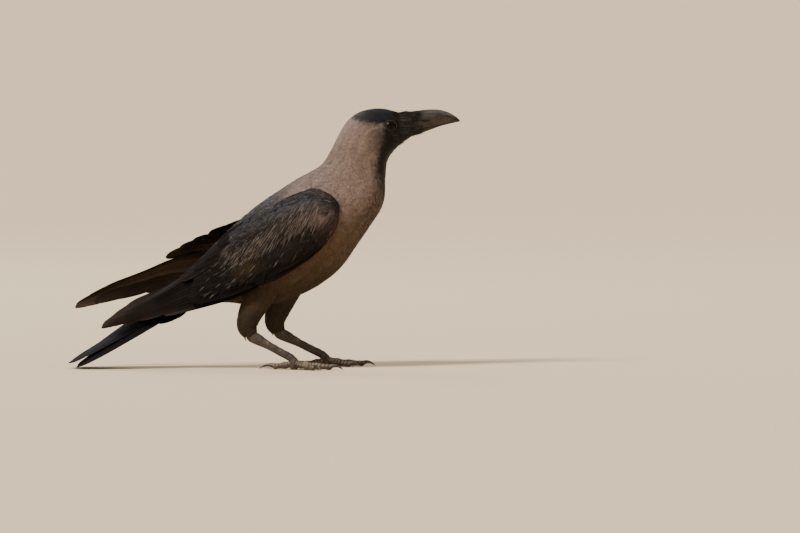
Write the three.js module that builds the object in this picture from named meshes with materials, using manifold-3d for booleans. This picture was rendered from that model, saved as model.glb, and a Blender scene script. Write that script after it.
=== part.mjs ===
// A house crow standing still, life size, in millimetres.
// +X is forward, +Z is up, and -Y is the bird's right side.
// The origin is on the floor, below the middle of the bird's length.
import * as THREE from "three";
import { mergeVertices } from "three/addons/utils/BufferGeometryUtils.js";
import Module from "manifold-3d";

const wasm = await Module();
wasm.setup();

const { lerp, degToRad, smoothstep } = THREE.MathUtils;

// ---- Driving sizes ----
const GAP = 0.3; // between nodes that touch
const SIDES = { right: -1, left: 1 };

// Sections of the trunk from the bill's base to under the tail. Each meets the back line at `back` and the
// belly line at `belly`, as [x, z], and is `wide` from its middle plane to its side.
const SECTIONS = [
  { at: "bill base", back: [117, 224.6], belly: [117, 195.4], wide: 9.6 },
  { at: "lores", back: [110, 226.4], belly: [112.6, 191], wide: 14.4 },
  { at: "brow", back: [103, 227.9], belly: [109.1, 186.6], wide: 17.6 },
  { at: "crown", back: [92.4, 227.7], belly: [106.5, 181.3], wide: 19.6 },
  { at: "hind crown", back: [81, 224.4], belly: [105.6, 176], wide: 20.4 },
  { at: "nape", back: [71.3, 216.9], belly: [105.2, 169.8], wide: 20.8 },
  { at: "upper neck", back: [63.4, 204.2], belly: [104.7, 162.8], wide: 21.6 },
  { at: "mid neck", back: [57.2, 191.8], belly: [104.7, 155.8], wide: 23.2 },
  { at: "lower neck", back: [49.3, 179.5], belly: [103.8, 147.8], wide: 26.2 },
  { at: "collar", back: [38.7, 172.5], belly: [100.3, 138.2], wide: 30.4 },
  { at: "breast", back: [27.3, 166.3], belly: [93.3, 127.6], wide: 34 },
  { at: "shoulders", back: [15, 158.4], belly: [81.8, 110.9], wide: 36 },
  { at: "keel", back: [1.8, 149.6], belly: [66, 88.9], wide: 36 },
  { at: "belly", back: [-11.4, 139.9], belly: [48.4, 74.4], wide: 34.6 },
  { at: "flanks", back: [-24.6, 128.5], belly: [29, 64.2], wide: 31.6 },
  { at: "loins", back: [-37.8, 116.2], belly: [7.9, 57.2], wide: 27 },
  { at: "rump", back: [-49.3, 104.7], belly: [-13.2, 55.4], wide: 22 },
  { at: "vent", back: [-59.8, 94.2], belly: [-30.8, 58.1], wide: 17 },
  { at: "tail root", back: [-69.5, 84.5], belly: [-47.5, 59], wide: 12.8 },
  { at: "tail stump", back: [-79, 75.4], belly: [-64, 58], wide: 8.4 },
];
const LOW_WAIST = 0.12; // how far the widest level of a section lies below its middle
const NECK_FROM = 4.6; // the section number where the head ends and the neck begins
const NECK_TO = 8.5;
const LAST = SECTIONS.length - 1;
const TRUNK_SIDES = 24;
const RING_STEP = 0.5; // in section numbers
const CUT = 0.022; // in section numbers, half the thin cut between two of the trunk's nodes

// The bill, from its base to its tip: [x, culmen z, lower edge z, half width].
const BILL = [
  [117.3, 224.6, 196.9, 8.9],
  [126, 225.3, 202.8, 8.1],
  [134, 226.3, 205.7, 7.3],
  [143, 227.2, 208.7, 6.2],
  [152, 226.9, 212.1, 4.9],
  [160, 224.7, 214.3, 3.5],
  [166, 221.5, 216.1, 2.1],
  [170.2, 217.8, 216.6, 0.7],
];
const BILL_STEPS = 14;
const BILL_SIDES = 14;
const MOUTH = [
  [116, 205.6],
  [130, 209.6],
  [145, 212.9],
  [158, 215.2],
  [172, 216.4],
];

// The eyeball, as much of it as `shown` across its rim, turned a little forward and up. It sits at the
// section number `section`, where its rim lies at the share `sunk` of the head's half width.
const EYE = { x: 110.1, z: 213.2, radius: 5.6, shown: 4.3, forward: 0.4, up: 0.1, section: 1.05, sunk: 0.98 };
const LID_THICK = 0.9;
const LID_SHAPE = [1.07, 0.94]; // the lids' opening is a little longer than it is high
const NOSTRIL = { x: 123.5, angle: 52, size: [2.6, 1.3, 1.3] }; // on the bill's side, in degrees off its top
const GAPE = { from: [107.6, 202.2], to: [119, 206.2], thick: 0.7 }; // the line of the mouth behind the bill

// Two layers of bristles on each side of the bill, spread in degrees off its top.
const BRISTLE_ROWS = [
  { count: 4, length: 18, from: 16, to: 76, lift: 0.7 },
  { count: 3, length: 13, from: 30, to: 92, lift: 1.8 },
];
const BRISTLE = { root: 3, dip: 0.6, widest: 0.4, halves: [1.7, 1.9, 0.3], ridge: 0.45, keel: 0.25 };

// Each leg: where the feathered shank leaves the trunk, the heel joint and the foot's joint with the toes.
const LEGS = {
  right: { hip: [3, 17, 82], shank: [-15.6, 22, 43], heel: [-13, 22.5, 29.6], foot: [25, 28, 8.6] },
  left: { hip: [22, 17, 80], shank: [8, 21.5, 44], heel: [10.6, 22, 30.4], foot: [52.5, 27, 8.6] },
};
const SHANK = { top: [15, 10], middle: [10.2, 8.6], end: [6.2, 5.4] }; // half depth, half width
const SHANK_STEPS = 8;
const TARSUS = { heel: [5.3, 4.1], middle: [3.5, 2.7], foot: [4.3, 4.2], scutes: 7, step: 0.42 };

// Toes by their number, counted from the hind toe: length to the claw, claw length, half thickness and pads.
const TOES = [
  { length: 19, claw: 13, radius: 3.1, pads: 2 },
  { length: 23, claw: 9.5, radius: 2.9, pads: 2 },
  { length: 34, claw: 10.5, radius: 3.1, pads: 3 },
  { length: 26, claw: 8.5, radius: 2.8, pads: 3 },
];
const TOE_FLAT = 0.35; // how much of each toe's roundness its flat takes
const CLAW_STEPS = 4;
const CLAW_ARCH = 2.2; // how far a claw rises over the line from its root to its tip
const BALL = { radius: 4.3, high: 3.6 }; // the pad where the toes meet
// The heading of each toe on the floor, in degrees to the outside of straight ahead.
const TOE_HEADINGS = { right: [-166, -16, 14, 46], left: [-174, -20, 10, 44] };

// Folded wing: its lower and upper edges from the bend to the tip, as [x, y to the side, z].
const WING_LOWER = [
  [65.5, 34, 137],
  [57, 41, 117],
  [42, 43, 102.5],
  [20, 43.5, 88],
  [-2, 43, 77],
  [-27, 40, 67],
  [-55, 37, 60.5],
  [-85, 33.5, 54],
  [-115, 30.5, 44],
  [-146, 28, 32.5],
];
const WING_UPPER = [
  [66, 33.5, 143],
  [60, 35.5, 152],
  [43, 27, 159.5],
  [20, 19, 153],
  [-6, 13, 139],
  [-34, 9.5, 119],
  [-58, 9.5, 99],
  [-84.5, 15, 77],
  [-114.5, 24, 59.5],
  [-141, 27.6, 43],
];
const WING_BULGE = 12;
// The right wing droops a little. The left one is carried farther back, and its part past the stretch
// `WING_RISE` is lifted.
const WING_POSE = { right: { back: 0, lift: 0 }, left: { back: 24, lift: 18 } };
const WING_RISE = [0.47, 0.75];
// The arm with its flesh and down, which ends under the coverts and holds every feather's root.
const ARM = { end: 0.46, depth: 14, endDepth: 6, sunk: 3, least: 1.5, across: 5, steps: 5 };

// Outlines of a feather: how far along it, and the share of its full width there.
const FLIGHT = [[0, 0.5], [0.35, 1], [0.72, 0.96], [0.92, 0.62], [1, 0.16]];
const COVERT = [[0, 0.4], [0.24, 0.84], [0.66, 1], [1, 0.28]];

// Tiers of the wing, from the lower edge's feather to the upper edge's. Roots and tips are [along, up] the
// folded wing. `high` lifts the tier off the wing's nominal face, and `step` each feather off the last one.
const PRIMARY_TIPS = [0.85, 0.96, 1, 0.99, 0.94, 0.89, 0.84, 0.79];
const WING_TIERS = [
  {
    count: 8, roots: [[0.3, 0.1], [0.36, 0.42]], tips: [[1, 0.1], [1, 0.94]], ends: PRIMARY_TIPS,
    outline: FLIGHT, outer: 4.6, inner: 6.2, high: -10.4, step: 0.85, shingle: 0.1,
  },
  {
    count: 5, roots: [[0.22, 0.12], [0.33, 0.74]], tips: [[0.7, 0.12], [0.68, 0.66]],
    outline: FLIGHT, outer: 7.4, inner: 8.6, high: -3.7, step: 0.3, shingle: 0.1,
  },
  {
    count: 3, roots: [[0.3, 0.72], [0.3, 0.95]], tips: [[0.73, 0.8], [0.6, 1.02]],
    outline: FLIGHT, outer: 8, inner: 7, high: -1.5, step: 0.9, shingle: 0.06,
  },
  {
    count: 3, roots: [[0.14, 0.03], [0.2, 0.16]], tips: [[0.47, -0.02], [0.5, 0.1]],
    outline: COVERT, outer: 3.8, inner: 5, high: -3.4, step: 0.75, shingle: 0.08,
  },
  {
    count: 6, roots: [[0.18, 0.14], [0.3, 0.8]], tips: [[0.43, 0.12], [0.5, 0.8]],
    outline: COVERT, outer: 6.8, inner: 7, high: -1.4, step: 0.2, shingle: 0.11,
  },
  {
    count: 6, roots: [[0.08, 0.16], [0.2, 0.8]], tips: [[0.29, 0.12], [0.37, 0.8]],
    outline: COVERT, outer: 6.8, inner: 7, high: 0, step: 0.2, shingle: 0.11,
  },
  {
    count: 4, roots: [[0.16, 0.84], [0.18, 1]], tips: [[0.56, 0.86], [0.39, 0.98]],
    outline: COVERT, outer: 5.6, inner: 5, high: 1.6, step: 0.8, shingle: 0.06,
  },
];
const ROOT_SUNK = 1.2; // how far below the skin of what it grows from a feather's root lies
const ROOT_SHARE = 0.24; // the share of a feather's length over which it comes up from its root
const VANE_THICK = 0.6;

// The tail's feathers leave the rump together and slope back; the fan falls off to each side like a roof.
const TAIL = { root: [-38, 91], slope: 31.2, length: 160, rootWide: 11, wide: 25, rootFall: 4, fall: 8.6 };
const TAIL_ROOT = 0.2; // the share of the tail's length where its feathers are rooted
const TAIL_CORE = { start: 0.1, end: 0.4, thick: 7, thin: 2.6, steps: 5 };
const TAIL_MIDLINE = 0.04; // the lower feathers stop short of the middle by this share of the half width
const RECTRICES = { pairs: 6, outer: 7.5, inner: 8, shorter: 0.07, shingle: 0.04, step: 0.92 };
const UPPER_COVERTS = { sides: 2, tip: 0.6, wide: 6.5, level: 2.1, root: 2.8, step: 0.85 };
const UNDER_COVERTS = { sides: 2, tip: 0.5, wide: 6, level: -6.6, root: -3, step: -0.85 };

// ---- Solids ----
const point = (x, y, z) => new THREE.Vector3(x, y, z);
const curveThrough = (points) =>
  new THREE.CatmullRomCurve3(points.map((p) => point(...p)), false, "catmullrom", 0.5);

// A closed three.js geometry as a manifold-3d solid, facing out.
function solidOf(geometry) {
  const bare = geometry.clone();
  bare.deleteAttribute("normal");
  bare.deleteAttribute("uv");
  const merged = mergeVertices(bare, 1e-4);
  const vertProperties = merged.attributes.position.array;
  const make = (triVerts) => new wasm.Manifold(new wasm.Mesh({ numProp: 3, vertProperties, triVerts }));
  const corners = new Uint32Array(merged.index.array);
  const made = make(corners);
  if (made.volume() > 0) return made;
  for (let i = 0; i < corners.length; i += 3) {
    [corners[i + 1], corners[i + 2]] = [corners[i + 2], corners[i + 1]];
  }
  return make(corners);
}

function geometryOf(solid) {
  const mesh = solid.getMesh();
  const positions = new Float32Array(mesh.numVert * 3);
  for (let i = 0; i < mesh.numVert; i++) {
    positions.set(mesh.vertProperties.subarray(i * mesh.numProp, i * mesh.numProp + 3), i * 3);
  }
  const geometry = new THREE.BufferGeometry();
  geometry.setAttribute("position", new THREE.BufferAttribute(positions, 3));
  geometry.setIndex(new THREE.BufferAttribute(mesh.triVerts, 1));
  return geometry;
}

// A closed skin over rings of points that run alike; each end is a fan about the ring's middle.
function loft(rings) {
  const around = rings[0].length;
  const vertices = rings.flat();
  const faces = [];
  for (let r = 0; r + 1 < rings.length; r++) {
    for (let i = 0; i < around; i++) {
      const a = r * around + i;
      const b = r * around + ((i + 1) % around);
      faces.push(a, b, b + around, a, b + around, a + around);
    }
  }
  for (const [r, turn] of [[0, 1], [rings.length - 1, 0]]) {
    const middle = vertices.length;
    vertices.push(rings[r].reduce((sum, p) => sum.add(p), point(0, 0, 0)).divideScalar(around));
    for (let i = 0; i < around; i++) {
      const a = r * around + i;
      const b = r * around + ((i + 1) % around);
      faces.push(middle, turn ? b : a, turn ? a : b);
    }
  }
  const geometry = new THREE.BufferGeometry().setFromPoints(vertices);
  geometry.setIndex(faces);
  return solidOf(geometry);
}

function ellipse(middle, up, side, halfUp, halfSide, around) {
  return Array.from({ length: around }, (_, i) => {
    const angle = (i / around) * 2 * Math.PI;
    return middle
      .clone()
      .addScaledVector(up, halfUp * Math.cos(angle))
      .addScaledVector(side, halfSide * Math.sin(angle));
  });
}

const joined = (solids) => solids.reduce((whole, piece) => whole.add(piece));
const largest = (solid) => solid.decompose().reduce((a, b) => (b.volume() > a.volume() ? b : a));

const FLOOR = solidOf(new THREE.BoxGeometry(900, 900, 100).translate(0, 0, -50));

// ---- Trunk: head, neck and torso ----
const backLine = curveThrough(SECTIONS.map(({ back, wide }) => [back[0], wide, back[1]]));
const bellyLine = curveThrough(SECTIONS.map(({ belly }) => [belly[0], 0, belly[1]]));

// One ring of the trunk at a section number, grown outwards by `grow`.
function trunkRing(number, around, grow = 0) {
  const share = number / (SECTIONS.length - 1);
  const back = backLine.getPoint(share);
  const belly = bellyLine.getPoint(share);
  const wide = back.y + grow;
  back.y = 0;
  const middle = back.clone().add(belly).divideScalar(2);
  const up = back.sub(belly);
  const halfUp = up.length() / 2 + grow;
  up.normalize();
  return Array.from({ length: around }, (_, i) => {
    const angle = (i / around) * 2 * Math.PI;
    const bulge = Math.sin(angle) * (1 - LOW_WAIST * Math.cos(angle));
    return middle.clone().addScaledVector(up, halfUp * Math.cos(angle)).add(point(0, wide * bulge, 0));
  });
}

// A length of the trunk between two section numbers. Its inner rings are at the same places in every length.
function trunk(from, to, grow = 0) {
  const numbers = [from];
  const first = Math.floor(from / RING_STEP + 1.2) * RING_STEP;
  for (let n = first; n < to - 0.2 * RING_STEP; n += RING_STEP) numbers.push(n);
  numbers.push(to);
  return loft(numbers.map((number) => trunkRing(number, TRUNK_SIDES, grow)));
}

const trunkClear = trunk(0, LAST, GAP * 1.2);

// ---- Head: eyes, lids, bill and nasal bristles ----
function eyeFrame(sign) {
  const axis = point(EYE.forward, sign, EYE.up).normalize();
  const halfWidth = backLine.getPoint(EYE.section / LAST).y;
  const surface = point(EYE.x, sign * halfWidth * EYE.sunk, EYE.z);
  const depth = Math.sqrt(EYE.radius ** 2 - EYE.shown ** 2);
  return { axis, surface, middle: surface.clone().addScaledVector(axis, -depth) };
}

function facing(geometry, axis, place) {
  const turn = new THREE.Quaternion().setFromUnitVectors(point(0, 0, 1), axis);
  return solidOf(geometry.applyQuaternion(turn).translate(place.x, place.y, place.z));
}

function eyeball(sign, grow = 0) {
  const { axis, middle } = eyeFrame(sign);
  return facing(new THREE.SphereGeometry(EYE.radius + grow, 14, 7), axis, middle);
}

function lids(sign) {
  const { axis, surface } = eyeFrame(sign);
  const rim = new THREE.TorusGeometry(EYE.shown + LID_THICK * 0.6, LID_THICK, 5, 14).scale(...LID_SHAPE, 1);
  return facing(rim, axis, surface);
}

const billLine = curveThrough(BILL.map(([x, top, low]) => [x, top, low]));
const billWidth = curveThrough(BILL.map(([x, , , wide]) => [x, wide, 0]));

function billRing(share, around) {
  const { x, y: top, z: low } = billLine.getPoint(share);
  const middle = point(x, 0, (top + low) / 2);
  const wide = billWidth.getPoint(share).y;
  return ellipse(middle, point(0, 0, 1), point(0, 1, 0), (top - low) / 2, wide, around);
}

// The bill parted along the line of the mouth.
function billHalves() {
  const whole = loft(Array.from({ length: BILL_STEPS + 1 }, (_, i) => billRing(i / BILL_STEPS, BILL_SIDES)));
  const mouth = curveThrough(MOUTH.map(([x, z]) => [x, 0, z])).getPoints(10);
  const bottom = BILL[0][2] - 10;
  const below = new THREE.Shape([
    ...mouth.map((p) => new THREE.Vector2(p.x, p.z)),
    new THREE.Vector2(MOUTH.at(-1)[0], bottom),
    new THREE.Vector2(MOUTH[0][0], bottom),
  ]);
  const lowerSpace = slab(below);
  let upper = whole.subtract(lowerSpace);
  for (const sign of [-1, 1]) upper = upper.subtract(nostril(sign));
  return { upper, lower: whole.intersect(lowerSpace.translate([0, 0, -GAP])) };
}

function nostril(sign) {
  const { x, angle, size } = NOSTRIL;
  const spot = billSpot((x - BILL[0][0]) / (BILL.at(-1)[0] - BILL[0][0]), degToRad(angle), 0);
  return solidOf(new THREE.SphereGeometry(1, 8, 5).scale(...size).translate(x, sign * spot.y, spot.z));
}

// The slot that carries the line of the mouth from the bill back under the eye.
function gape() {
  const { from, to, thick } = GAPE;
  const shape = new THREE.Shape([
    new THREE.Vector2(...from),
    new THREE.Vector2(to[0], to[1] - thick / 2),
    new THREE.Vector2(to[0], to[1] + thick / 2),
  ]);
  return slab(shape);
}

// An outline in x and z, extruded to both sides past the head.
function slab(outline) {
  const depth = 60;
  const geometry = new THREE.ExtrudeGeometry(outline, { depth, bevelEnabled: false, steps: 1 });
  return solidOf(geometry.rotateX(Math.PI / 2).translate(0, depth / 2, 0));
}

// Bristles that lie forward over the nostrils, each one flat and tapered, with its root inside the head.
function nasalBristles() {
  const bristles = [];
  const reach = BILL.at(-1)[0] - BILL[0][0];
  for (const sign of [-1, 1]) {
    for (const { count, length, from, to, lift } of BRISTLE_ROWS) {
      for (let i = 0; i < count; i++) {
        const angle = degToRad(lerp(from, to, i / (count - 1)));
        const across = point(0, sign * Math.cos(angle), -Math.sin(angle));
        const out = point(0, sign * Math.sin(angle), Math.cos(angle));
        const stations = [
          [-BRISTLE.root, lift - BRISTLE.dip],
          [length * BRISTLE.widest, lift],
          [length, lift + 0.1],
        ];
        const rings = stations.map(([forward, off], station) => {
          const spot = billSpot(Math.max(forward, 0) / reach, angle, off);
          const half = BRISTLE.halves[station];
          const middle = point(BILL[0][0] + forward, sign * spot.y, spot.z);
          return [[half, 0], [0, BRISTLE.ridge], [-half, 0], [0, -BRISTLE.keel]].map(([wide, high]) =>
            middle.clone().addScaledVector(across, wide).addScaledVector(out, high),
          );
        });
        bristles.push(loft(rings));
      }
    }
  }
  return bristles;
}

// A place beside the bill, at an angle from its top and `off` its surface.
function billSpot(share, angle, off) {
  const { y: top, z: low } = billLine.getPoint(share);
  const wide = billWidth.getPoint(share).y;
  const high = (top - low) / 2 + off;
  return { y: (wide + off) * Math.sin(angle), z: (top + low) / 2 + high * Math.cos(angle) };
}

function head() {
  const skull = trunk(0, NECK_FROM - CUT);
  let whole = skull;
  for (const sign of [-1, 1]) whole = whole.add(lids(sign));
  for (const bristle of nasalBristles()) whole = whole.add(bristle);
  for (const sign of [-1, 1]) whole = whole.subtract(eyeball(sign, GAP));
  return largest(whole.subtract(gape()));
}

// ---- Vanes: flat feathers with a raised shaft ----
// A thin closed sheet over rows of places, split into triangles alike on its two faces. Each place is
// [over, under].
function sheet(rows) {
  const columns = rows[0].length;
  const at = (r, c, face) => (r * columns + c) * 2 + face;
  const faces = [];
  const quad = (a, b, c, d) => faces.push(a, b, c, a, c, d);
  const lastRow = rows.length - 1;
  const lastColumn = columns - 1;
  for (let r = 0; r < lastRow; r++) {
    for (let c = 0; c < lastColumn; c++) {
      quad(at(r, c, 0), at(r, c + 1, 0), at(r + 1, c + 1, 0), at(r + 1, c, 0));
      faces.push(at(r, c, 1), at(r + 1, c, 1), at(r + 1, c + 1, 1));
      faces.push(at(r, c, 1), at(r + 1, c + 1, 1), at(r, c + 1, 1));
    }
    quad(at(r, 0, 0), at(r + 1, 0, 0), at(r + 1, 0, 1), at(r, 0, 1));
    quad(at(r + 1, lastColumn, 0), at(r, lastColumn, 0), at(r, lastColumn, 1), at(r + 1, lastColumn, 1));
  }
  for (let c = 0; c < lastColumn; c++) {
    quad(at(0, c + 1, 0), at(0, c, 0), at(0, c, 1), at(0, c + 1, 1));
    quad(at(lastRow, c, 0), at(lastRow, c + 1, 0), at(lastRow, c + 1, 1), at(lastRow, c, 1));
  }
  const geometry = new THREE.BufferGeometry().setFromPoints(rows.flat(2));
  geometry.setIndex(faces);
  return solidOf(geometry);
}

// place(share, across, high) lies along the feather, across it in millimetres and off its face. The vane
// tilts by `shingle`, so that its inner edge slips under the next feather.
function vane(place, { outline, outer, inner, shingle }) {
  return sheet(
    outline.map(([share, wide]) =>
      [-outer * wide, inner * wide].map((across) =>
        [0.5, -0.5].map((face) => place(share, across, face * VANE_THICK - shingle * across)),
      ),
    ),
  );
}

const WING_SEED = 7;
const TAIL_SEED = 11;

// A seeded draw, so that the bird comes out the same each time.
function drawFrom(seed) {
  let state = seed;
  return (spread) => {
    state = (Math.imul(state, 1664525) + 1013904223) >>> 0;
    return spread * (state / 2147483648 - 1);
  };
}

// ---- Wings ----
const lowerEdge = curveThrough(WING_LOWER);
const upperEdge = curveThrough(WING_UPPER);

const chordAt = (a) => lowerEdge.getPoint(a).distanceTo(upperEdge.getPoint(a));

// The folded wing's outer face. `a` runs from the bend to the tip, `b` from the lower edge to the upper one.
function wingPlace(side, a, b, high = 0) {
  const pose = WING_POSE[side];
  const along = THREE.MathUtils.clamp(a, 0, 1);
  const low = lowerEdge.getPoint(along);
  const top = upperEdge.getPoint(along);
  const out = point(0, top.z - low.z, low.y - top.y).normalize();
  const bulge = WING_BULGE * (1 - 0.8 * along) * smoothstep(along, -0.1, 0.3) * Math.max(0, 4 * b * (1 - b));
  const place = low.lerp(top, b).addScaledVector(out, bulge + high);
  place.x -= pose.back * along * along;
  place.z += pose.lift * smoothstep(along, ...WING_RISE);
  place.y *= SIDES[side];
  return place;
}

// The arm is a lens between the wing's face and one sunk towards the trunk.
function arm(side) {
  const { end, depth, endDepth, sunk, least, across, steps } = ARM;
  const rings = [];
  for (let i = 0; i <= steps; i++) {
    const a = end * (i / steps) ** 1.3;
    const face = -lerp(0.2, sunk, smoothstep(a, 0.05, 0.3));
    const deep = lerp(depth, endDepth, i / steps) * Math.max(0.35, smoothstep(a, -0.05, 0.12));
    const outer = [];
    const inner = [];
    for (let j = 0; j <= across; j++) {
      const b = j / across;
      outer.push(wingPlace(side, a, b, face));
      if (j === 0 || j === across) continue;
      inner.push(wingPlace(side, a, b, face - least - deep * Math.sin(Math.PI * b) ** 0.6));
    }
    rings.push([...outer, ...inner.reverse()]);
  }
  return loft(rings);
}

function wingFeathers(side) {
  const draw = drawFrom(WING_SEED);
  const feathers = [];
  for (const tier of WING_TIERS) {
    for (let i = 0; i < tier.count; i++) {
      const t = i / (tier.count - 1);
      const mix = ([first, last], which) => lerp(first[which], last[which], t);
      const root = [mix(tier.roots, 0) + draw(0.006), mix(tier.roots, 1)];
      const end = tier.ends ? tier.ends[i] : mix(tier.tips, 0) + draw(0.012);
      const tip = [end, mix(tier.tips, 1) + draw(0.006)];
      const level = tier.high + tier.step * i;
      const rootLevel = Math.min(level, -ARM.sunk - ROOT_SUNK);
      const place = (share, across, high) => {
        const a = lerp(root[0], tip[0], share);
        const b = lerp(root[1], tip[1], share) + across / chordAt(a);
        return wingPlace(side, a, b, lerp(rootLevel, level, Math.min(1, share / ROOT_SHARE)) + high);
      };
      feathers.push(vane(place, tier));
    }
  }
  return feathers;
}

function wing(side) {
  const whole = joined([arm(side), ...wingFeathers(side)]);
  return largest(whole.subtract(trunkClear).subtract(shank(side, GAP * 1.3)));
}

// ---- Tail ----
const tailWide = (share) => lerp(TAIL.rootWide, TAIL.wide, share);

function tailPlace(share, across, high = 0) {
  const slope = degToRad(TAIL.slope);
  const along = point(-Math.cos(slope), 0, -Math.sin(slope));
  const out = point(-Math.sin(slope), 0, Math.cos(slope));
  const fall = lerp(TAIL.rootFall, TAIL.fall, smoothstep(share, 0.1, 0.5)) * Math.abs(across) ** 1.4;
  return point(TAIL.root[0], 0, TAIL.root[1])
    .addScaledVector(along, TAIL.length * share)
    .addScaledVector(out, high - fall)
    .add(point(0, across * tailWide(share), 0));
}

// The fleshy root of the tail, which holds every shaft.
function tailCore() {
  const rings = [];
  const { start, end, thick, thin, steps } = TAIL_CORE;
  for (let i = 0; i <= steps; i++) {
    const share = lerp(start, end, i / steps);
    const half = lerp(thick, thin, i / steps);
    const places = [-0.9, -0.5, 0, 0.5, 0.9];
    const over = places.map((across) => tailPlace(share, across, half * (1 - 0.4 * Math.abs(across))));
    const under = places.map((across) => tailPlace(share, -across, -half));
    rings.push([...over, ...under]);
  }
  return loft(rings);
}

function tailFeathers() {
  const draw = drawFrom(TAIL_SEED);
  const feathers = [];
  for (const sign of [-1, 1]) {
    for (let pair = 0; pair < RECTRICES.pairs; pair++) {
      const shaft = (pair + 0.5) / RECTRICES.pairs;
      const reach = 1 - RECTRICES.shorter * (pair / (RECTRICES.pairs - 1)) ** 2 + draw(0.006);
      const { outer, inner, shingle, step } = RECTRICES;
      const level = pair === 0 && sign > 0 ? step : -step * pair;
      const place = (share, across, high) => {
        const s = lerp(TAIL_ROOT, reach, share);
        const near = level > 0 ? -1 : TAIL_MIDLINE;
        return tailPlace(s, sign * Math.max(near, shaft - across / tailWide(s)), level + high);
      };
      feathers.push(vane(place, { outline: FLIGHT, outer, inner, shingle }));
    }
  }
  for (const coverts of [UPPER_COVERTS, UNDER_COVERTS]) {
    for (let i = -coverts.sides; i <= coverts.sides; i++) feathers.push(tailCovert(coverts, i, draw));
  }
  return feathers;
}

// One covert over or under the tail's root; the middle one lies outermost.
function tailCovert({ sides, tip, wide, level, root, step }, i, draw) {
  const out = Math.abs(i);
  const reach = tip - 0.03 * out + draw(0.01);
  const place = (share, across, high) => {
    const s = lerp(TAIL_ROOT, reach, share);
    const shaft = (i / sides) * 0.66;
    const lie = lerp(root, level, smoothstep(share, 0.05, 0.5)) + step * (sides - out);
    return tailPlace(s, shaft + across / tailWide(s), lie + high);
  };
  return vane(place, { outline: COVERT, outer: wide, inner: wide, shingle: 0 });
}

function tail() {
  return largest(joined([tailCore(), ...tailFeathers()]).subtract(trunkClear).subtract(FLOOR));
}

// ---- Legs ----
const place3 = ([x, y, z], sign) => point(x, y * sign, z);

function limb(stations, around) {
  return loft(
    stations.map(({ middle, along, deep, wide }) => {
      const side = new THREE.Vector3().crossVectors(along, point(1, 0, 0.001)).normalize();
      const up = new THREE.Vector3().crossVectors(side, along).normalize();
      return ellipse(middle, up, side, deep, wide, around);
    }),
  );
}

function shank(side, grow = 0) {
  const sign = SIDES[side];
  const { hip, shank: middle, heel } = LEGS[side];
  const path = new THREE.CatmullRomCurve3([place3(hip, sign), place3(middle, sign), place3(heel, sign)]);
  const stations = [];
  for (let i = 0; i <= SHANK_STEPS; i++) {
    const t = i / SHANK_STEPS;
    const size = t < 0.5 ? [SHANK.top, SHANK.middle, t * 2] : [SHANK.middle, SHANK.end, t * 2 - 1];
    const along = path.getTangent(t);
    stations.push({
      middle: path.getPoint(t),
      along,
      deep: lerp(size[0][0], size[1][0], size[2]) + grow,
      wide: lerp(size[0][1], size[1][1], size[2]) + grow,
    });
  }
  return limb(stations, 14);
}

function tarsus(side, grow = 0) {
  const sign = SIDES[side];
  const { heel, foot } = LEGS[side];
  const from = place3(heel, sign);
  const to = place3(foot, sign);
  const along = to.clone().sub(from).normalize();
  const stations = [];
  const add = (t, raised) => {
    const knee = smoothstep(t, 0, 0.35);
    const ball = smoothstep(t, 0.75, 1);
    const half = (which) =>
      lerp(lerp(TARSUS.heel[which], TARSUS.middle[which], knee), TARSUS.foot[which], ball) + raised + grow;
    stations.push({ middle: from.clone().lerp(to, t), along, deep: half(0), wide: half(1) });
  };
  for (let i = 0; i < TARSUS.scutes; i++) {
    add(i / TARSUS.scutes, 0);
    add((i + 0.9) / TARSUS.scutes, TARSUS.step);
  }
  add(1, 0);
  return limb(stations, 8);
}

function toePath(side, number) {
  const sign = SIDES[side];
  const { length, radius } = TOES[number];
  const heading = degToRad(TOE_HEADINGS[side][number]);
  const along = point(Math.cos(heading), sign * Math.sin(heading), 0);
  const foot = place3(LEGS[side].foot, sign);
  const low = radius - TOE_FLAT;
  const at = (far, high) => foot.clone().addScaledVector(along, far).setZ(high);
  const curve = new THREE.CatmullRomCurve3([
    at(0, foot.z - 2.4),
    at(length * 0.3, low + 1.5),
    at(length * 0.62, low + 0.5),
    at(length, low * 0.9),
  ]);
  return { along, curve };
}

function toe(side, number) {
  const { radius, pads } = TOES[number];
  const { curve } = toePath(side, number);
  const stations = [];
  const steps = pads * 3;
  for (let i = 0; i <= steps; i++) {
    const t = i / steps;
    const swell = 1 + 0.12 * Math.cos(2 * Math.PI * t * pads);
    const size = radius * lerp(1, 0.76, t) * swell;
    stations.push({ middle: curve.getPoint(t), along: curve.getTangent(t), deep: size, wide: size * 0.92 });
  }
  return limb(stations, 7);
}

// The four toes of a foot in one piece, standing on small flats.
function foot(side) {
  const { foot: middle } = LEGS[side];
  const ball = new THREE.SphereGeometry(BALL.radius, 10, 6).rotateX(Math.PI / 2);
  ball.translate(middle[0], SIDES[side] * middle[1], BALL.high);
  const pieces = [solidOf(ball), ...TOES.map((_, number) => toe(side, number))];
  return largest(joined(pieces).subtract(tarsus(side, GAP)).subtract(FLOOR));
}

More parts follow.
